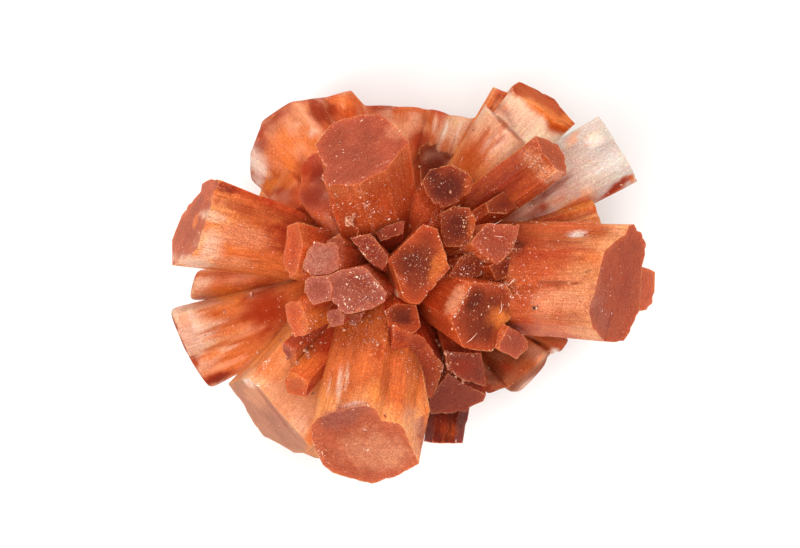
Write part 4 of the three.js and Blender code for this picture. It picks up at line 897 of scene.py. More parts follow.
        ("crown_north_hexagon", 3.4, 9.1, 1.6, 1.4, 0, 0.7),
        # Painted shade: umber in the north valley at 2.1, 10.6 and on the next three lines, where the roots
        # lie in shadow.
        ("crown_south_button", -1.0, -3.4, 1.2, 1.0, 0, 0.7), ("north_ridge", 2.1, 10.6, 1.4, 1.2, 0, 0.6),
        ("crown_north_root", 2.1, 10.6, 1.4, 1.2, 0, 0.6),
        ("crown_north_root", 2.4, 12.6, 2.0, 2.0, 0, 0.5),
        ("crown_north_hexagon", 2.2, 10.4, 1.0, 0.8, 0, 0.6), ("crown_north", 1.9, 11.1, 1.2, 1.0, 0, 0.7),
        ("east_spire", 10.6, 2.9, 0.9, 0.7, 0, 0.4), ("south_east", 8.6, -9.3, 1.0, 1.2, 0, 0.6),
        ("east_spire", 10.8, 3.5, 0.7, 0.8, 0, 0.7), ("crown_east_hexagon", 6.2, -1.8, 1.6, 0.9, 60, 0.75),
        ("", 15.6, -7.3, 0.9, 0.5, 60, 0.6), ("", 8.2, -8.4, 0.9, 0.9, 0, 0.5),
        # Painted shadow: umber at 14.8, -0.25 darkens the same ledge line on the east spire.
        ("east_spire", 12.3, -2.7, 0.3, 0.3, 0, 0.5), ("east_spire", 14.8, -0.25, 2.8, 0.2, -3, 0.6),
        # Painted shade: the north valley again at 2.4, 11.9, and at 1.6, 12.0 on the next line.
        ("east_spire", 15.4, 3.9, 2.6, 0.16, -2, 0.5), ("", 2.4, 11.9, 0.9, 0.9, 0, 0.35),
        ("east_spire", 10.9, 3.6, 0.7, 0.7, 0, 0.5), ("north_ridge", 1.6, 12.0, 2.0, 1.6, 0, 0.4),
        # Painted shade: the dark crevice between the east plate and the hexagon at 7.1, 4.8.
        ("crown_east_plate", 7.1, 4.8, 1.3, 0.9, 0, 0.3)],
    "mauve": [
        ("north_west", -14.9, 13.5, 1.0, 0.6, 60, 0.7), ("east_spire", 18.6, -2.9, 3.0, 1.0, 100, 0.5),
        ("south_west_spire", -13.6, -12.9, 3.6, 0.2, -52, 0.6),
        ("north_west", -14.2, 15.4, 1.6, 1.0, 30, 0.5),
        ("north_east_window", 9.3, 17.0, 2.0, 0.4, -50, 0.5),
        ("south_spire", -6.4, -13.2, 2.8, 1.3, 20, 0.85), ("east_window", 15.6, 9.3, 2.2, 0.4, 30, 0.35),
        ("west_fan", -22.3, -5.6, 2.4, 1.2, 115, 0.3), ("south_knob", -11.4, -10.3, 1.0, 0.8, 0, 0.4),
        ("", 12.4, -9.4, 1.6, 0.5, 38, 0.5), ("crown_west", -9.4, -0.9, 1.4, 1.2, 0, 0.15),
        ("south_spire", -8.0, -14.0, 1.4, 1.2, 0, 0.4), ("north_west", -12.6, 16.9, 0.9, 0.5, 20, 0.5),
        ("east_spire", 16.2, -2.8, 2.6, 1.7, 0, 0.22)],
}
print(sum(len(rows) for rows in STAINS.values()), "stains in", len(PIGMENTS), "pigments")

# %% [markdown]
# ## From skins and stains to one colour for each corner
# Noise moves the borders between root, body and tip, so they run in streaks. The worn fans get
# clouds of milk and rust instead of streaks, and their colours are blended with their neighbours'.
# The stains come last. Colours mix as linear light, and a small power deepens the green and the blue
# more than the red, which is what the iron does in thick crystal.

# %% Paint every corner
DEEPER = (1.0, 1.1, 1.12)  # powers of red, green and blue
PAINTED_CROWN_GLOW = "#d4643c"
CLOUD_ROUNDS = 8
SHARP_ANGLE = 28
CALMEST = 0.45  # the most that the fine tones and the gloss are toned down


def mixed(one, other, share):
    """One colour towards the other by a share for each row."""
    return one + (other - one) * np.asarray(share)[:, None]


def own_offset(post, spread):
    """Random distances up to spread in mm for each post, so that no two posts carry the same noise."""
    return np.column_stack([scatter(post * 7.0, np.full(len(post), float(k))) for k in range(3)]) * spread


inner_place = place + own_offset(corner_post, spread=50)
streaks = soft_noise(inner_place, (0.8, 0.8, 7.0), 31)
lanes = soft_noise(inner_place, (1.6, 1.6, 26.0), 35)
bands = soft_noise(inner_place, (2.6, 2.6, 5.0), 32)
mottles = soft_noise(inner_place, (1.5, 1.5, 2.2), 33)
reach = along + 3.0 * (bands - 0.5) + 1.6 * (streaks - 0.5)
tint, span = tints[corner_post], spans[corner_post]
side = mixed(tint[:, 2], tint[:, 1], smooth(reach / span[:, 0], 0.1, 1.0))
# The root colour is partly iron and partly painted shade, for the shade deep down between the posts.
side = mixed(side, tint[:, 0], smooth((reach - span[:, 1]) / 8, 0.0, 1.0))
side = side * (0.94 + 0.12 * lanes)[:, None] ** (1.0, 1.2, 1.3)
# The end takes its edge colour near the outline and its middle colour further in; where the edge colour is
# brighter, it is painted glow of light leaking out of the side.
middle = smooth(inset + 0.8 * (mottles - 0.5), 0.0, span[:, 2])
middle = middle * (1 - 0.35 * smooth(centred, 0.2, 0.9))
end = mixed(tint[:, 4], tint[:, 3], middle)
# Painted glow: the sides of the crown posts turn a warm orange down in the cracks, for light that comes
# through them.
glow_painted_posts = [n.startswith(("crown_", "south_brow")) and n != "crown_east_hexagon" for n in post_names]
side = mixed(side, linear(PAINTED_CROWN_GLOW), 0.8 * np.array(glow_painted_posts)[corner_post] * smooth(along, 0.3, 2.2))
colour = np.where(corner_end[:, None], end, side) * (0.84 + 0.32 * mottles)[:, None]

cloudy = np.minimum(1.6 * wear, 1)[corner_post]
for pigment, seed in (("milk", 38), ("rust", 39)):
    clouds = smooth(soft_noise(inner_place, (1.1, 1.1, 2.6), seed), 0.5, 0.8)
    colour = mixed(colour, linear(PIGMENTS[pigment]), 0.6 * cloudy * clouds)
point_of = triangles.ravel()
shared = np.column_stack([np.bincount(point_of, part) for part in colour.T])
shared = shared / np.bincount(point_of)[:, None]
shared = relax(shared, triangles, np.where(worn_here > 0, 0.5, 0), CLOUD_ROUNDS)
colour = mixed(colour, shared[point_of], cloudy)

facing_up = np.repeat(normal[:, 2], 3)
waver = (0.55 * (soft_noise(corner_point, 0.45, 36) - 0.5)
         + 0.35 * (soft_noise(corner_point, 1.2, 37) - 0.5))
covered = np.zeros(len(colour))
all_stains = [(pigment, *stain) for pigment in STAINS for stain in STAINS[pigment]]
for pigment, begins, x, y, long, wide, turn, strength in all_stains:
    mine = np.array([name.startswith(begins) for name in post_names])[corner_post] & (facing_up > -0.2)
    a = np.radians(turn)
    away = corner_point[mine][:, :2] - (x, y)
    gone = np.hypot((away @ (np.cos(a), np.sin(a))) / long, (away @ (-np.sin(a), np.cos(a))) / wide)
    share = strength * (1 - smooth(gone + waver[mine], 0.45, 1.15))
    colour[mine] = mixed(colour[mine], linear(PIGMENTS[pigment]), share)
    covered[mine] = np.maximum(covered[mine], share)
colour = np.clip(colour, 0, 1) ** DEEPER
clear = span[:, 3] * smooth(span[:, 0] * 1.4 - reach, 0, 3)
clear = clear * np.where(corner_end, 0.4, 1.0) * (1 - covered)
print("mean linear colour", colour.mean(0).round(3))


def keep(mesh, name, kind, field, values):
    """Stores one value per face corner under a name that the material can read."""
    layer = mesh.attributes.new(name, kind, "CORNER")
    layer.data.foreach_set(field, np.asarray(values, np.float32).ravel())


mesh = cluster.data
rgba = np.column_stack([np.clip(colour, 0, 1), np.ones(len(colour))])
keep(mesh, "iron", "FLOAT_COLOR", "color", rgba)
keep(mesh, "post_place", "FLOAT_VECTOR", "vector", inner_place)
keep(mesh, "clear", "FLOAT", "value", clear)
keep(mesh, "end", "FLOAT", "value", corner_end)
keep(mesh, "to_edge", "FLOAT", "value", to_edge)
calm = np.maximum(1.4 * wear, [0.0, *(1 - CALM.get(spec["skin"], 1.0) for spec in CRYSTALS.values())])
keep(mesh, "calm", "FLOAT", "value", np.minimum(calm, CALMEST)[corner_post])
mesh.polygons.foreach_set("use_smooth", np.ones(len(mesh.polygons), bool))
mesh.set_sharp_from_angle(angle=np.radians(SHARP_ANGLE))
print("painted", len(colour), "corners")

# %% [markdown]
# ## The finish of the mineral
# Aragonite is translucent with a waxy shine. Light goes a millimetre or so into it and comes out
# redder, which is what Principled's subsurface does, and the clearest tips let some light straight
# through. The finest flutes, about a tenth of a millimetre apart, are drawn as bump that follows
# the post's own axis. The ends are etched, so they are duller and finely pitted. Milky and worn
# posts are calm: their tones vary less, and they shine less at a grazing angle.

# %% A material from nodes
# The colour of the pale edge line: wear, and a painted highlight.
EDGE_WEAR_AND_HIGHLIGHT_COLOUR = "#f89c66"


def add(tree, kind, inputs=None, **settings):
    """Adds a node, gives it its settings, and sets or links each named or numbered input."""
    node = tree.nodes.new(kind)
    for key, value in settings.items():
        setattr(node, key, value)
    for key, value in (inputs or {}).items():
        if isinstance(value, bpy.types.NodeSocket):
            tree.links.new(value, node.inputs[key])
        else:
            node.inputs[key].default_value = value
    return node


def new_material(name):
    """A new material and its node tree, which is left empty."""
    material = bpy.data.materials.new(name)
    material.use_nodes = True
    material.node_tree.nodes.clear()
    return material, material.node_tree


material, tree = new_material("natural aragonite, iron stained")
iron = add(tree, "ShaderNodeAttribute", attribute_name="iron")
where = add(tree, "ShaderNodeAttribute", attribute_name="post_place")
clearness = add(tree, "ShaderNodeAttribute", attribute_name="clear")
ends = add(tree, "ShaderNodeAttribute", attribute_name="end")
edge = add(tree, "ShaderNodeAttribute", attribute_name="to_edge")
calmness = add(tree, "ShaderNodeAttribute", attribute_name="calm")

# Places are in mm along and across the post, so a Scale of 4.2 means features a quarter of a mm wide.
stretched = add(tree, "ShaderNodeMapping", {"Vector": where.outputs["Vector"], "Scale": (1, 1, 0.1)})
flute = add(tree, "ShaderNodeTexNoise", {
    "Vector": stretched.outputs[0], "Scale": 4.2, "Detail": 6, "Roughness": 0.65})
mottle = add(tree, "ShaderNodeTexNoise", {
    "Vector": where.outputs["Vector"], "Scale": 1.3, "Detail": 7, "Roughness": 0.72})
grain = add(tree, "ShaderNodeTexNoise", {
    "Vector": where.outputs["Vector"], "Scale": 6.0, "Detail": 5, "Roughness": 0.75})
scored = add(tree, "ShaderNodeMapping", {
    "Vector": where.outputs["Vector"], "Rotation": (0, 0, 0.5), "Scale": (2.9, 0.45, 1)},
    vector_type="TEXTURE")
score = add(tree, "ShaderNodeTexNoise", {
    "Vector": scored.outputs[0], "Scale": 1.6, "Detail": 6, "Roughness": 0.7})

# Map Range takes the value, its lowest and highest, and the lowest and highest of the result.
# Mix takes the share, then its two numbers at 2 and 3, or its two colours at 6 and 7.
streak_tone = add(tree, "ShaderNodeMapRange", {0: flute.outputs["Fac"], 1: 0.3, 2: 0.7, 3: 0.7, 4: 1.32})
score_tone = add(tree, "ShaderNodeMapRange", {0: score.outputs["Fac"], 1: 0.3, 2: 0.7, 3: 0.82, 4: 1.2})
mottle_tone = add(tree, "ShaderNodeMapRange", {0: mottle.outputs["Fac"], 1: 0.3, 2: 0.7, 3: 0.8, 4: 1.2})
grit_tone = add(tree, "ShaderNodeMapRange", {0: grain.outputs["Fac"], 1: 0.3, 2: 0.7, 3: 0.35, 4: 1.75})
fluted = add(tree, "ShaderNodeMix", {
    0: ends.outputs["Fac"], 2: streak_tone.outputs[0], 3: score_tone.outputs[0]}, data_type="FLOAT")
lively = add(tree, "ShaderNodeMath", {
    0: fluted.outputs[0], 1: mottle_tone.outputs[0]}, operation="MULTIPLY")
calmer = add(tree, "ShaderNodeMix", {
    0: calmness.outputs["Fac"], 2: lively.outputs[0], 3: 1.0}, data_type="FLOAT")
gritty = add(tree, "ShaderNodeMix", {
    0: calmness.outputs["Fac"], 2: grit_tone.outputs[0], 3: 1.0}, data_type="FLOAT")
tone = add(tree, "ShaderNodeMath", {0: calmer.outputs[0], 1: gritty.outputs[0]}, operation="MULTIPLY")
redder = add(tree, "ShaderNodeMath", {0: tone.outputs[0], 1: 0.55}, operation="POWER")
tone_colour = add(tree, "ShaderNodeCombineColor", {
    0: redder.outputs[0], 1: tone.outputs[0], 2: tone.outputs[0]})
base = add(tree, "ShaderNodeMix", {
    0: 1.0, 6: iron.outputs["Color"], 7: tone_colour.outputs[0]}, data_type="RGBA", blend_type="MULTIPLY")

# A ragged pale line follows every sharp edge: wear where the crystal is thin and scuffed, and painted
# highlight.
ragged_edge_line = add(tree, "ShaderNodeMath", {
    0: grain.outputs["Fac"], 1: -0.4, 2: edge.outputs["Fac"]}, operation="MULTIPLY_ADD")
thin = add(tree, "ShaderNodeMapRange", {0: ragged_edge_line.outputs[0], 1: -0.1, 2: -0.22, 3: 0.0, 4: 0.6})
edge_wear_and_highlight = add(tree, "ShaderNodeMix", {
    0: thin.outputs[0], 6: base.outputs[2], 7: (*linear(EDGE_WEAR_AND_HIGHLIGHT_COLOUR), 1)}, data_type="RGBA")

# The ends are rougher and let less light in, and calm posts reflect less.
rough = add(tree, "ShaderNodeMapRange", {0: ends.outputs["Fac"], 3: 0.12, 4: 0.42})
rough_grain = add(tree, "ShaderNodeMath", {
    0: grain.outputs["Fac"], 1: 0.25, 2: rough.outputs[0]}, operation="MULTIPLY_ADD")
deep = add(tree, "ShaderNodeMapRange", {0: ends.outputs["Fac"], 3: 0.7, 4: 0.45})
gloss = add(tree, "ShaderNodeMapRange", {0: calmness.outputs["Fac"], 2: CALMEST, 3: 0.13, 4: 0.02})
fine = add(tree, "ShaderNodeBump", {"Height": grain.outputs["Fac"], "Strength": 0.7, "Distance": 0.00016})
lines = add(tree, "ShaderNodeBump", {
    "Height": flute.outputs["Fac"], "Strength": 0.7, "Distance": 0.0004, "Normal": fine.outputs[0]})
body = add(tree, "ShaderNodeBsdfPrincipled", {
    "Base Color": edge_wear_and_highlight.outputs[2], "Roughness": rough_grain.outputs[0], "Normal": lines.outputs[0],
    "Transmission Weight": clearness.outputs["Fac"], "Subsurface Weight": deep.outputs[0],
    "Specular IOR Level": gloss.outputs[0]})
body.inputs["IOR"].default_value = 1.5
body.inputs["Subsurface Radius"].default_value = (1.0, 0.35, 0.15)
body.inputs["Subsurface Scale"].default_value = 0.0022
add(tree, "ShaderNodeOutputMaterial", {"Surface": body.outputs[0]})
cluster.data.materials.append(material)
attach(cluster, "root")
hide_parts(NODE)
print("material:", material.name)


# %% [markdown]
# ## Crumbs
# Broken bits of the same mineral lie in the corners between the posts and stick to their sides:
# angular lumps from a tenth of a millimetre to more than one. Each is a small ball whose points are
# moved in and out by coarse noise. The larger ones have places of their own, and the rest are drawn
# from the faces that look upwards, more of them near the crown.

# %% Where things land on the skin
chance = np.random.default_rng(41)
centres = points[triangles].mean(1)
edge_gap = to_edge.reshape(-1, 3).min(1)
top_faces = np.flatnonzero(normal[:, 2] > 0.02)


def drop(places):
    """The highest point of the skin under each x, y in mm, and the face it is on: for every face that
    looks up, the two edge shares u and v of the place, kept where u, v and 1 - u - v are all positive.
    A place with nothing under it is left out, and the last result tells which places were kept."""
    a, b, c = np.moveaxis(points[triangles[top_faces]], 1, 0)
    one, two = (b - a), (c - a)
    twice = one[:, 0] * two[:, 1] - one[:, 1] * two[:, 0]
    landed, faces = [], []
    for x, y in places:
        dx, dy = x - a[:, 0], y - a[:, 1]
        u = (dx * two[:, 1] - dy * two[:, 0]) / twice
        v = (one[:, 0] * dy - one[:, 1] * dx) / twice
        z = np.where((u >= 0) & (v >= 0) & (u + v <= 1), a[:, 2] + u * one[:, 2] + v * two[:, 2], -1)
        landed.append((x, y, z.max()))
        faces.append(top_faces[z.argmax()])
    landed = np.array(landed)
    found = landed[:, 2] > 0
    return landed[found], np.array(faces)[found], found


# Heaps where pale specks gather: dust, and painted glints down in the valleys.
SUGAR = [
    # x, y, how far it spreads in mm, how rich
    (-5.3, -0.9, 1.5, 9), (-8.9, 2.1, 1.2, 2), (-4.2, 3.1, 1.1, 5), (3.6, 9.2, 1.2, 2), (4.8, 5.2, 1.2, 3),
    (-4.6, -5.3, 1.8, 9), (-14.2, -8.9, 1.1, 9), (2.9, -7.9, 1.0, 8), (-8.2, 5.6, 1.4, 4),
    (9.9, -0.6, 1.2, 5), (2.2, 6.9, 1.0, 4), (-4.0, 7.2, 2.2, 4), (8.9, 4.0, 1.6, 4), (0.5, -8.0, 1.6, 4),
    (3.6, -9.0, 1.6, 4), (-10.0, -4.6, 1.4, 4), (11.2, 0.4, 2.0, 3), (-13.6, -8.6, 1.4, 4),
    (5.6, 1.4, 1.3, 4), (7.0, -2.6, 1.6, 2), (12.2, 11.9, 1.2, 3), (-3.4, -14.6, 1.6, 1),
    (1.2, 1.6, 2.0, 2)]


def settle(count, low, crown, edges):
    """Random places on faces that look upwards by more than low: points in mm and face numbers. The
    chance of a face is its area times how level it is, times drifts of noise and round heaps of sugar,
    more by crown at the top of the cluster and by edges within 0.2 mm of an edge."""
    drifts = 0.12 + smooth(soft_noise(centres, 2.0, 51), 0.42, 0.85)
    for x, y, spread, rich in SUGAR:
        gone = np.hypot(centres[:, 0] - SHIFT[0] - x, centres[:, 1] - SHIFT[1] - y) / spread
        drifts = drifts + rich * np.exp(-gone ** 2)
    high = 1 + crown * smooth(centres[:, 2], 20, 29)
    brink = 1 + edges * np.exp(-edge_gap / 0.2)
    weight = area * np.clip(normal[:, 2] - low, 0, None) * drifts * high * brink
    face = chance.choice(len(area), count, p=weight / weight.sum())
    share = np.sort(chance.random((count, 2)), axis=1)
    corners = points[triangles[face]]
    mix = np.column_stack([share[:, 0], share[:, 1] - share[:, 0], 1 - share[:, 1]])
    return (mix[..., None] * corners).sum(1), face


print(len(top_faces), "faces look upwards")

# %% Crumbs
CRUMBS = [
    # x, y, half-size in mm
    (-6.1, 6.1, 0.75), (-5.6, 6.6, 0.35), (2.9, -6.4, 0.35), (3.2, -7.7, 0.4), (2.5, -5.9, 0.22),
    (3.6, -8.3, 0.25), (-10.6, -6.9, 0.3), (-10.9, -6.2, 0.25), (-10.2, -7.6, 0.28), (-9.9, -6.5, 0.18),
    (-15.9, -1.4, 0.32), (-18.6, -3.1, 0.2), (10.9, -6.9, 0.2), (4.7, 7.5, 0.2), (3.9, 8.8, 0.22),
    (8.6, 11.6, 0.3), (-2.2, 14.4, 0.14), (5.2, 6.0, 0.2), (-6.6, -4.9, 0.25), (1.9, -2.9, 0.22),
    (7.6, 3.1, 0.2), (-3.2, -3.7, 0.2), (6.1, -7.4, 0.25), (3.4, -7.1, 0.3), (3.9, -9.0, 0.28),
    (3.0, -8.9, 0.22), (4.4, -9.6, 0.2), (5.1, -10.1, 0.24), (-11.3, -8.2, 0.26), (-10.3, -7.2, 0.22),
    (-9.6, -6.9, 0.18), (-12.3, -7.7, 0.2), (-13.0, -5.9, 0.16), (-9.0, -6.2, 0.2), (-3.3, -6.3, 0.28),
    (-0.9, -7.1, 0.16), (4.1, -4.7, 0.2), (8.3, 6.4, 0.16), (-7.3, 7.6, 0.16), (0.9, 11.4, 0.18),
    (11.2, 13.0, 0.2), (11.6, 12.6, 0.25), (12.0, 12.3, 0.22), (12.4, 12.0, 0.25), (12.8, 11.6, 0.28),
    (13.1, 11.2, 0.22), (13.4, 10.8, 0.25), (12.2, 11.7, 0.18), (11.4, 12.1, 0.16), (11.0, 11.6, 0.14),
    (11.7, 11.4, 0.16), (12.6, 11.0, 0.18), (13.0, 10.4, 0.15)]


def lump_surface(centre, size, seed, rings=5, columns=8):
    """Balls of rings x columns points and two poles, pushed in and out by noise to between 0.55 and
    1.25 of their size, and squashed along each axis."""
    latitude = np.pi * np.arange(1, rings + 1) / (rings + 1)
    longitude = 2 * np.pi * np.arange(columns) / columns
    lat, lon = np.meshgrid(latitude, longitude, indexing="ij")
    ball = np.stack([np.sin(lat) * np.cos(lon), np.sin(lat) * np.sin(lon), np.cos(lat)], -1).reshape(-1, 3)
    ball = np.vstack([(0, 0, 1), ball, (0, 0, -1)])
    many = np.tile(ball, (len(centre), 1))
    apart = np.repeat(np.arange(len(centre)) * 9.0, len(ball))[:, None]
    swell = 0.55 + 0.7 * soft_noise(many + apart, 0.8, seed)
    squash = np.repeat(chance.uniform(0.6, 1.0, (len(centre), 3)), len(ball), 0)
    corners = many * swell[:, None] * squash * np.repeat(size, len(ball))[:, None]
    corners = np.repeat(centre, len(ball), 0) + corners
    ring = 1 + np.arange(rings * columns).reshape(rings, columns)
    a, b = ring[:-1], ring[1:]
    quads = np.stack([a, b, np.roll(b, -1, 1), np.roll(a, -1, 1)], -1).reshape(-1, 4)
    top = np.column_stack([np.zeros(columns, int), ring[0], np.roll(ring[0], -1)])
    bottom = np.column_stack([np.full(columns, len(ball) - 1), np.roll(ring[-1], -1), ring[-1]])
    shape = np.vstack([quads[:, [0, 1, 2]], quads[:, [0, 2, 3]], top, bottom])
    return corners, (shape + len(ball) * np.arange(len(centre))[:, None, None]).reshape(-1, 3)


CRUMBS = np.array(CRUMBS)
placed, placed_face, found = drop(CRUMBS[:, :2] + SHIFT[:2])
strewn, strewn_face = settle(360, low=0.1, crown=2, edges=0)
centre = np.vstack([placed, strewn])
face = np.concatenate([placed_face, strewn_face])
size = np.concatenate([CRUMBS[found, 2], 0.06 + 0.14 * chance.random(len(strewn)) ** 4])
lifted = centre + 0.25 * size[:, None] * normal[face]
crumbs = to_object("aragonite_crumbs", *lump_surface(lifted, size, seed=61))
print("crumbs:", len(size), "lumps of", round(2 * size.min(), 2), "to", round(2 * size.max(), 2), "mm")

material, tree = new_material("broken aragonite, iron stained")
where = add(tree, "ShaderNodeTexCoord")
patchy = add(tree, "ShaderNodeTexNoise", {"Vector": where.outputs["Object"], "Scale": 5000.0, "Detail": 3})
tones = add(tree, "ShaderNodeValToRGB", {"Fac": patchy.outputs["Fac"]})
for stop, place, code in zip(tones.color_ramp.elements, (0.43, 0.68), ("#9c3c1c", "#fac49a")):
    stop.position, stop.color = place, (*linear(code), 1)
body = add(tree, "ShaderNodeBsdfPrincipled", {"Base Color": tones.outputs["Color"]})
body.inputs["Roughness"].default_value = 0.6
add(tree, "ShaderNodeOutputMaterial", {"Surface": body.outputs[0]})
crumbs.data.materials.append(material)
crumbs.data.shade_flat()
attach(crumbs, "root")

# %% [markdown]
# ## Dust and lint
# A mineral that has stood on a shelf carries dust: pale specks, most of them under a fifth of a
# millimetre, and curled textile fibres. The pale specks are painted glints as well as dust: they
# drift together in places, catch on edges, and along a few edges they make bright lines of grit and
# glints. A few dark grains of iron oxide lie among them, and six longer fibres have places of their
# own on the crown.

# %% Specks of dust
def speck_surface(centre, outwards, size):
    """Six-cornered chips: three random square directions, each with its own half-length, as octahedra."""
    count = len(centre)
    spin = chance.normal(size=(count, 3))
    one = np.cross(outwards, spin)
    one /= np.linalg.norm(one, axis=1)[:, None]
    two = np.cross(outwards, one)
    reach = size[:, None] * chance.uniform(0.5, 1.0, (count, 3)) * (1.3, 0.6, 0.5)
    arms = np.stack([one * reach[:, :1], two * reach[:, 1:2], outwards * reach[:, 2:]], 1)
    corners = centre[:, None] + np.concatenate([arms, -arms], 1)
    shape = np.array([(0, 1, 2), (1, 3, 2), (3, 4, 2), (4, 0, 2), (1, 0, 5), (3, 1, 5), (4, 3, 5), (0, 4, 5)])
    return corners.reshape(-1, 3), (shape + 6 * np.arange(count)[:, None, None]).reshape(-1, 3)


SPECKS = 8000
# Lines of pale specks along edges: grit, and painted glints on the edges they follow.
GRIT_AND_GLINT_LINES = [
    # from x, y to x, y, how many, how far they stray
    (7.6, 6.0, 21.9, 5.6, 70, 0.12), (5.7, -0.15, 9.7, -0.25, 40, 0.08), (6.0, -0.4, 4.3, -3.6, 70, 0.07),
    (-9.9, -15.9, -8.1, -17.9, 24, 0.1), (-6.6, 9.4, -3.9, 10.0, 16, 0.1),
    (-19.2, 9.4, -18.4, 9.2, 10, 0.12), (-8.9, 10.4, -8.5, 9.6, 8, 0.08), (-8.2, 13.3, -4.2, 12.1, 10, 0.1),
    (-5.0, 15.8, -4.4, 16.5, 12, 0.03), (-3.5, 11.3, -2.2, 11.9, 22, 0.05),
    (-4.3, 13.5, -2.8, 13.9, 12, 0.05), (-9.1, 12.8, -8.5, 11.5, 14, 0.08),
    (-5.6, -16.1, -4.1, -16.9, 26, 0.12), (-4.8, -14.6, -4.2, -14.9, 14, 0.05),
    (-6.8, -12.3, -5.0, -12.0, 70, 0.12), (-16.3, -10.0, -15.2, -10.6, 30, 0.14),
    (19.6, 0.9, 18.9, -4.0, 12, 0.35), (1.1, 5.6, -2.2, 2.2, 14, 0.08)]
lined = []
for x, y, u, v, count, stray in GRIT_AND_GLINT_LINES:
    on_line = np.array((x, y)) + chance.random((count, 1)) * (u - x, v - y)
    lined.append(on_line + chance.normal(0, stray, (count, 2)))
lined = np.vstack(lined)
in_line, in_line_face, found = drop(lined + SHIFT[:2])
loose, loose_face = settle(SPECKS, low=0.02, crown=1.5, edges=5)
centre = np.vstack([loose, in_line])
face = np.concatenate([loose_face, in_line_face])
loose_size = 0.03 + 0.03 * chance.random(SPECKS) + 0.12 * chance.random(SPECKS) ** 12
line_size = (0.04 + 0.06 * chance.random(len(lined)) ** 2)[found]
size = np.concatenate([loose_size, line_size])
lifted = centre + 0.3 * size[:, None] * normal[face]
dust_and_glints = to_object("dust_and_glint_specks", *speck_surface(lifted, normal[face], size))
dust_and_glints.data.shade_flat()
print("dust:", len(size), "specks of", round(2 * size.min(), 2), "to", round(2 * size.max(), 2), "mm")

# %% Dark grains
GRAINS = [
    # x, y, half-size in mm
    (12.2, -2.7, 0.3), (12.5, -2.5, 0.14), (17.4, 0.9, 0.1), (-2.6, -13.3, 0.16), (0.5, -16.6, 0.09),
    (-2.2, -16.6, 0.08), (-9.8, -11.2, 0.13), (-11.5, -9.0, 0.09), (-16.0, -11.1, 0.1),
    (-16.7, -10.1, 0.11), (-0.9, -11.8, 0.12), (-18.3, 9.1, 0.12), (-6.1, -5.4, 0.2), (-5.8, -5.0, 0.16),
    (-13.4, 5.4, 0.08), (8.1, 1.9, 0.1), (3.4, -11.8, 0.09)]
GRAINS = np.array(GRAINS)
centre, face, found = drop(GRAINS[:, :2] + SHIFT[:2])
grains = to_object("iron_oxide_grains", *speck_surface(centre, normal[face], GRAINS[found, 2]))
material, tree = new_material("iron oxide grains")
body = add(tree, "ShaderNodeBsdfPrincipled", {"Roughness": 0.5})
body.inputs["Base Color"].default_value = (*linear("#3a2220"), 1)
add(tree, "ShaderNodeOutputMaterial", {"Surface": body.outputs[0]})
grains.data.materials.append(material)
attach(grains, "root")
print("dark grains:", len(GRAINS))

# %% Fibres of lint
def lint_surface(start, outwards, aside, length, radius, sides=5, rings=9):
    """Thin tubes along arcs: a fibre leaves square to outwards and to aside, turns evenly at a radius
    of length / turn and lifts a little. It is thickest halfway, by a sine, and closed by fans."""
    count = len(start)
    heading = np.cross(outwards, aside)
    heading /= np.linalg.norm(heading, axis=1)[:, None]
    sideways = np.cross(outwards, heading)
    turn = chance.uniform(-0.9, 0.9, count)
    divisor = np.where(np.abs(turn) < 1e-3, 1e-3, turn)[:, None]
    t = np.linspace(0, 1, rings)
    bend = turn[:, None] * t
    ahead = length[:, None] * np.sin(bend) / divisor
    astray = length[:, None] * (1 - np.cos(bend)) / divisor
    lift = 0.10 * np.sin(np.pi * t) * length[:, None] + 0.03
    line = (start[:, None] + ahead[..., None] * heading[:, None] + astray[..., None] * sideways[:, None]
            + lift[..., None] * outwards[:, None])
    angle = 2 * np.pi * np.arange(sides) / sides
    thick = radius[:, None] * (0.25 + 0.75 * np.sin(np.pi * np.linspace(0.04, 0.96, rings)))
    spoke = (np.cos(angle)[:, None] * sideways[:, None, None]
             + np.sin(angle)[:, None] * outwards[:, None, None])
    tube = line[:, :, None] + thick[..., None, None] * spoke
    grid = np.arange(rings * sides).reshape(rings, sides)
    a, b = grid[:-1], grid[1:]
    quads = np.stack([a, np.roll(a, -1, 1), np.roll(b, -1, 1), b], -1).reshape(-1, 4)
    fan = np.arange(1, sides - 1)
    caps = [np.column_stack([np.zeros_like(fan), fan + 1, fan]),
            grid[-1][0] + np.column_stack([np.zeros_like(fan), fan, fan + 1])]
    one = np.vstack([quads[:, [0, 1, 2]], quads[:, [0, 2, 3]], *caps])
    return tube.reshape(-1, 3), (one + rings * sides * np.arange(count)[:, None, None]).reshape(-1, 3)


FIBRES = 22
LONG_FIBRES = np.array([
    # from x, y to x, y
    (9.3, -0.7, 10.4, 0.3), (5.5, -6.1, 6.7, -5.2), (8.9, -1.9, 9.4, -3.3), (9.5, -5.3, 10.4, -5.9),
    (8.2, 4.5, 9.5, 4.3), (10.4, -1.2, 11.3, -2.0)])
short, short_face = settle(FIBRES, low=0.3, crown=2, edges=0)
long, long_face, found = drop(LONG_FIBRES[:, :2] + SHIFT[:2])
face = np.concatenate([short_face, long_face])
run = np.pad(LONG_FIBRES[found, 2:] - LONG_FIBRES[found, :2], ((0, 0), (0, 1)))
aside = np.vstack([chance.normal(size=(FIBRES, 3)), np.cross(run, normal[long_face])])
length = np.concatenate([0.4 + 0.8 * chance.random(FIBRES) ** 2, np.linalg.norm(run, axis=1)])
radius = np.repeat((0.022, 0.034), (FIBRES, len(long)))
start = np.vstack([short, long])
lint = to_object("lint_fibres", *lint_surface(start, normal[face], aside, length, radius))
print("lint:", len(face), "fibres")

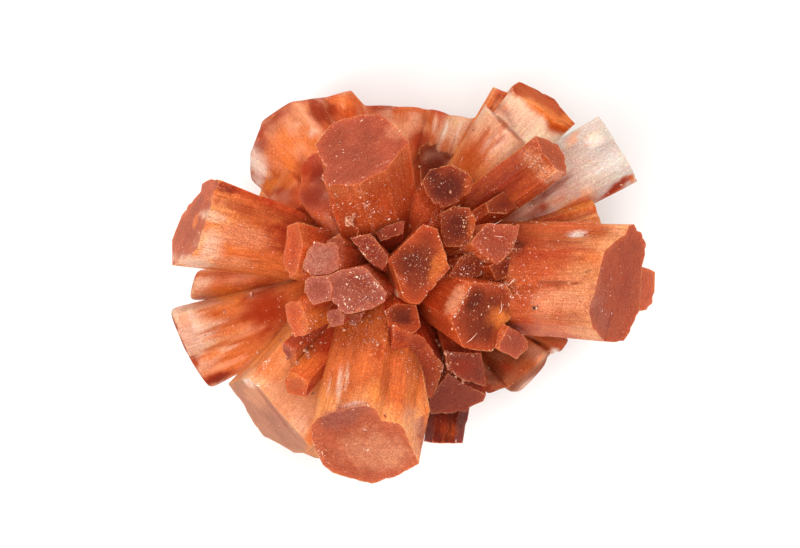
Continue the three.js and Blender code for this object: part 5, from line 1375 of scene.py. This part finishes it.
material, tree = new_material("house dust and cotton lint")
where = add(tree, "ShaderNodeTexCoord")
patchy = add(tree, "ShaderNodeTexNoise", {"Vector": where.outputs["Object"], "Scale": 1500.0, "Detail": 2})
tones = add(tree, "ShaderNodeValToRGB", {"Fac": patchy.outputs["Fac"]})
for stop, place, code in zip(tones.color_ramp.elements, (0.42, 0.66), ("#e48648", "#fff0dc")):
    stop.position, stop.color = place, (*linear(code), 1)
body = add(tree, "ShaderNodeBsdfPrincipled", {"Base Color": tones.outputs["Color"], "Roughness": 0.9})
add(tree, "ShaderNodeOutputMaterial", {"Surface": body.outputs[0]})
for piece in (dust_and_glints, lint):
    piece.data.materials.append(material)
    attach(piece, "root")

# %% [markdown]
# ## Floor, light and camera
# The cluster rests on a plain pale floor and is seen from straight above with a long lens, so that
# every post keeps its outline. A large soft key from the left and the front shapes the ends, a wide
# light from high at the back fills the valleys, a weak one straight above reaches down into the
# crown, and a small one from the right picks out edges.

# %% The floor
FLOOR = 1.2
corners = [(-FLOOR, -FLOOR, 0), (FLOOR, -FLOOR, 0), (FLOOR, FLOOR, 0), (-FLOOR, FLOOR, 0)]
mesh = bpy.data.meshes.new("floor")
mesh.from_pydata(corners, [], [(0, 1, 2, 3)])
floor = bpy.data.objects.new("floor", mesh)
bpy.context.scene.collection.objects.link(floor)
material, tree = new_material("matt white paper")
body = add(tree, "ShaderNodeBsdfPrincipled", {"Roughness": 0.9})
body.inputs["Base Color"].default_value = (*linear("#fcfbfa"), 1)
add(tree, "ShaderNodeOutputMaterial", {"Surface": body.outputs[0]})
floor.data.materials.append(material)

# %% Lights
scene = bpy.context.scene
world = bpy.data.worlds.new("studio")
scene.world = world
world.use_nodes = True
world.node_tree.nodes["Background"].inputs["Color"].default_value = (1.0, 0.99, 0.97, 1)
world.node_tree.nodes["Background"].inputs["Strength"].default_value = 0.4
AIM = Vector((0, 0, 0.018))  # the middle of the cluster, which every light looks at


def soft_light(name, place, width, watts):
    """A square area light that looks at the cluster."""
    data = bpy.data.lights.new(name, "AREA")
    data.size, data.energy = width, watts
    item = bpy.data.objects.new(name, data)
    scene.collection.objects.link(item)
    item.location = place
    item.rotation_euler = (AIM - item.location).to_track_quat("-Z", "Y").to_euler()


soft_light("key", (-0.24, -0.28, 0.62), 0.42, 3.6)
soft_light("fill", (0.0, 0.0, 0.75), 0.3, 1.5)
soft_light("overhead", (-0.1, 0.75, 0.75), 0.8, 5.6)
soft_light("rim", (0.5, 0.25, 0.3), 0.25, 1.0)

# %% Camera
LENS_MM = 675
SENSOR_MM = 36
DISTANCE = 1.5  # from the growth centre, in metres
VIEW_X, VIEW_Y = -0.0011, 0.0007  # where the camera looks, from the table's origin, in metres
camera_data = bpy.data.cameras.new("camera")
camera_data.lens, camera_data.sensor_width, camera_data.clip_start = LENS_MM, SENSOR_MM, 0.01
camera = bpy.data.objects.new("camera", camera_data)
scene.collection.objects.link(camera)
camera.location = (VIEW_X + SHIFT[0] / 1000, VIEW_Y + SHIFT[1] / 1000, DISTANCE + GROWTH_CENTRE[2] / 1000)
scene.camera = camera
scene.view_settings.view_transform = "Standard"
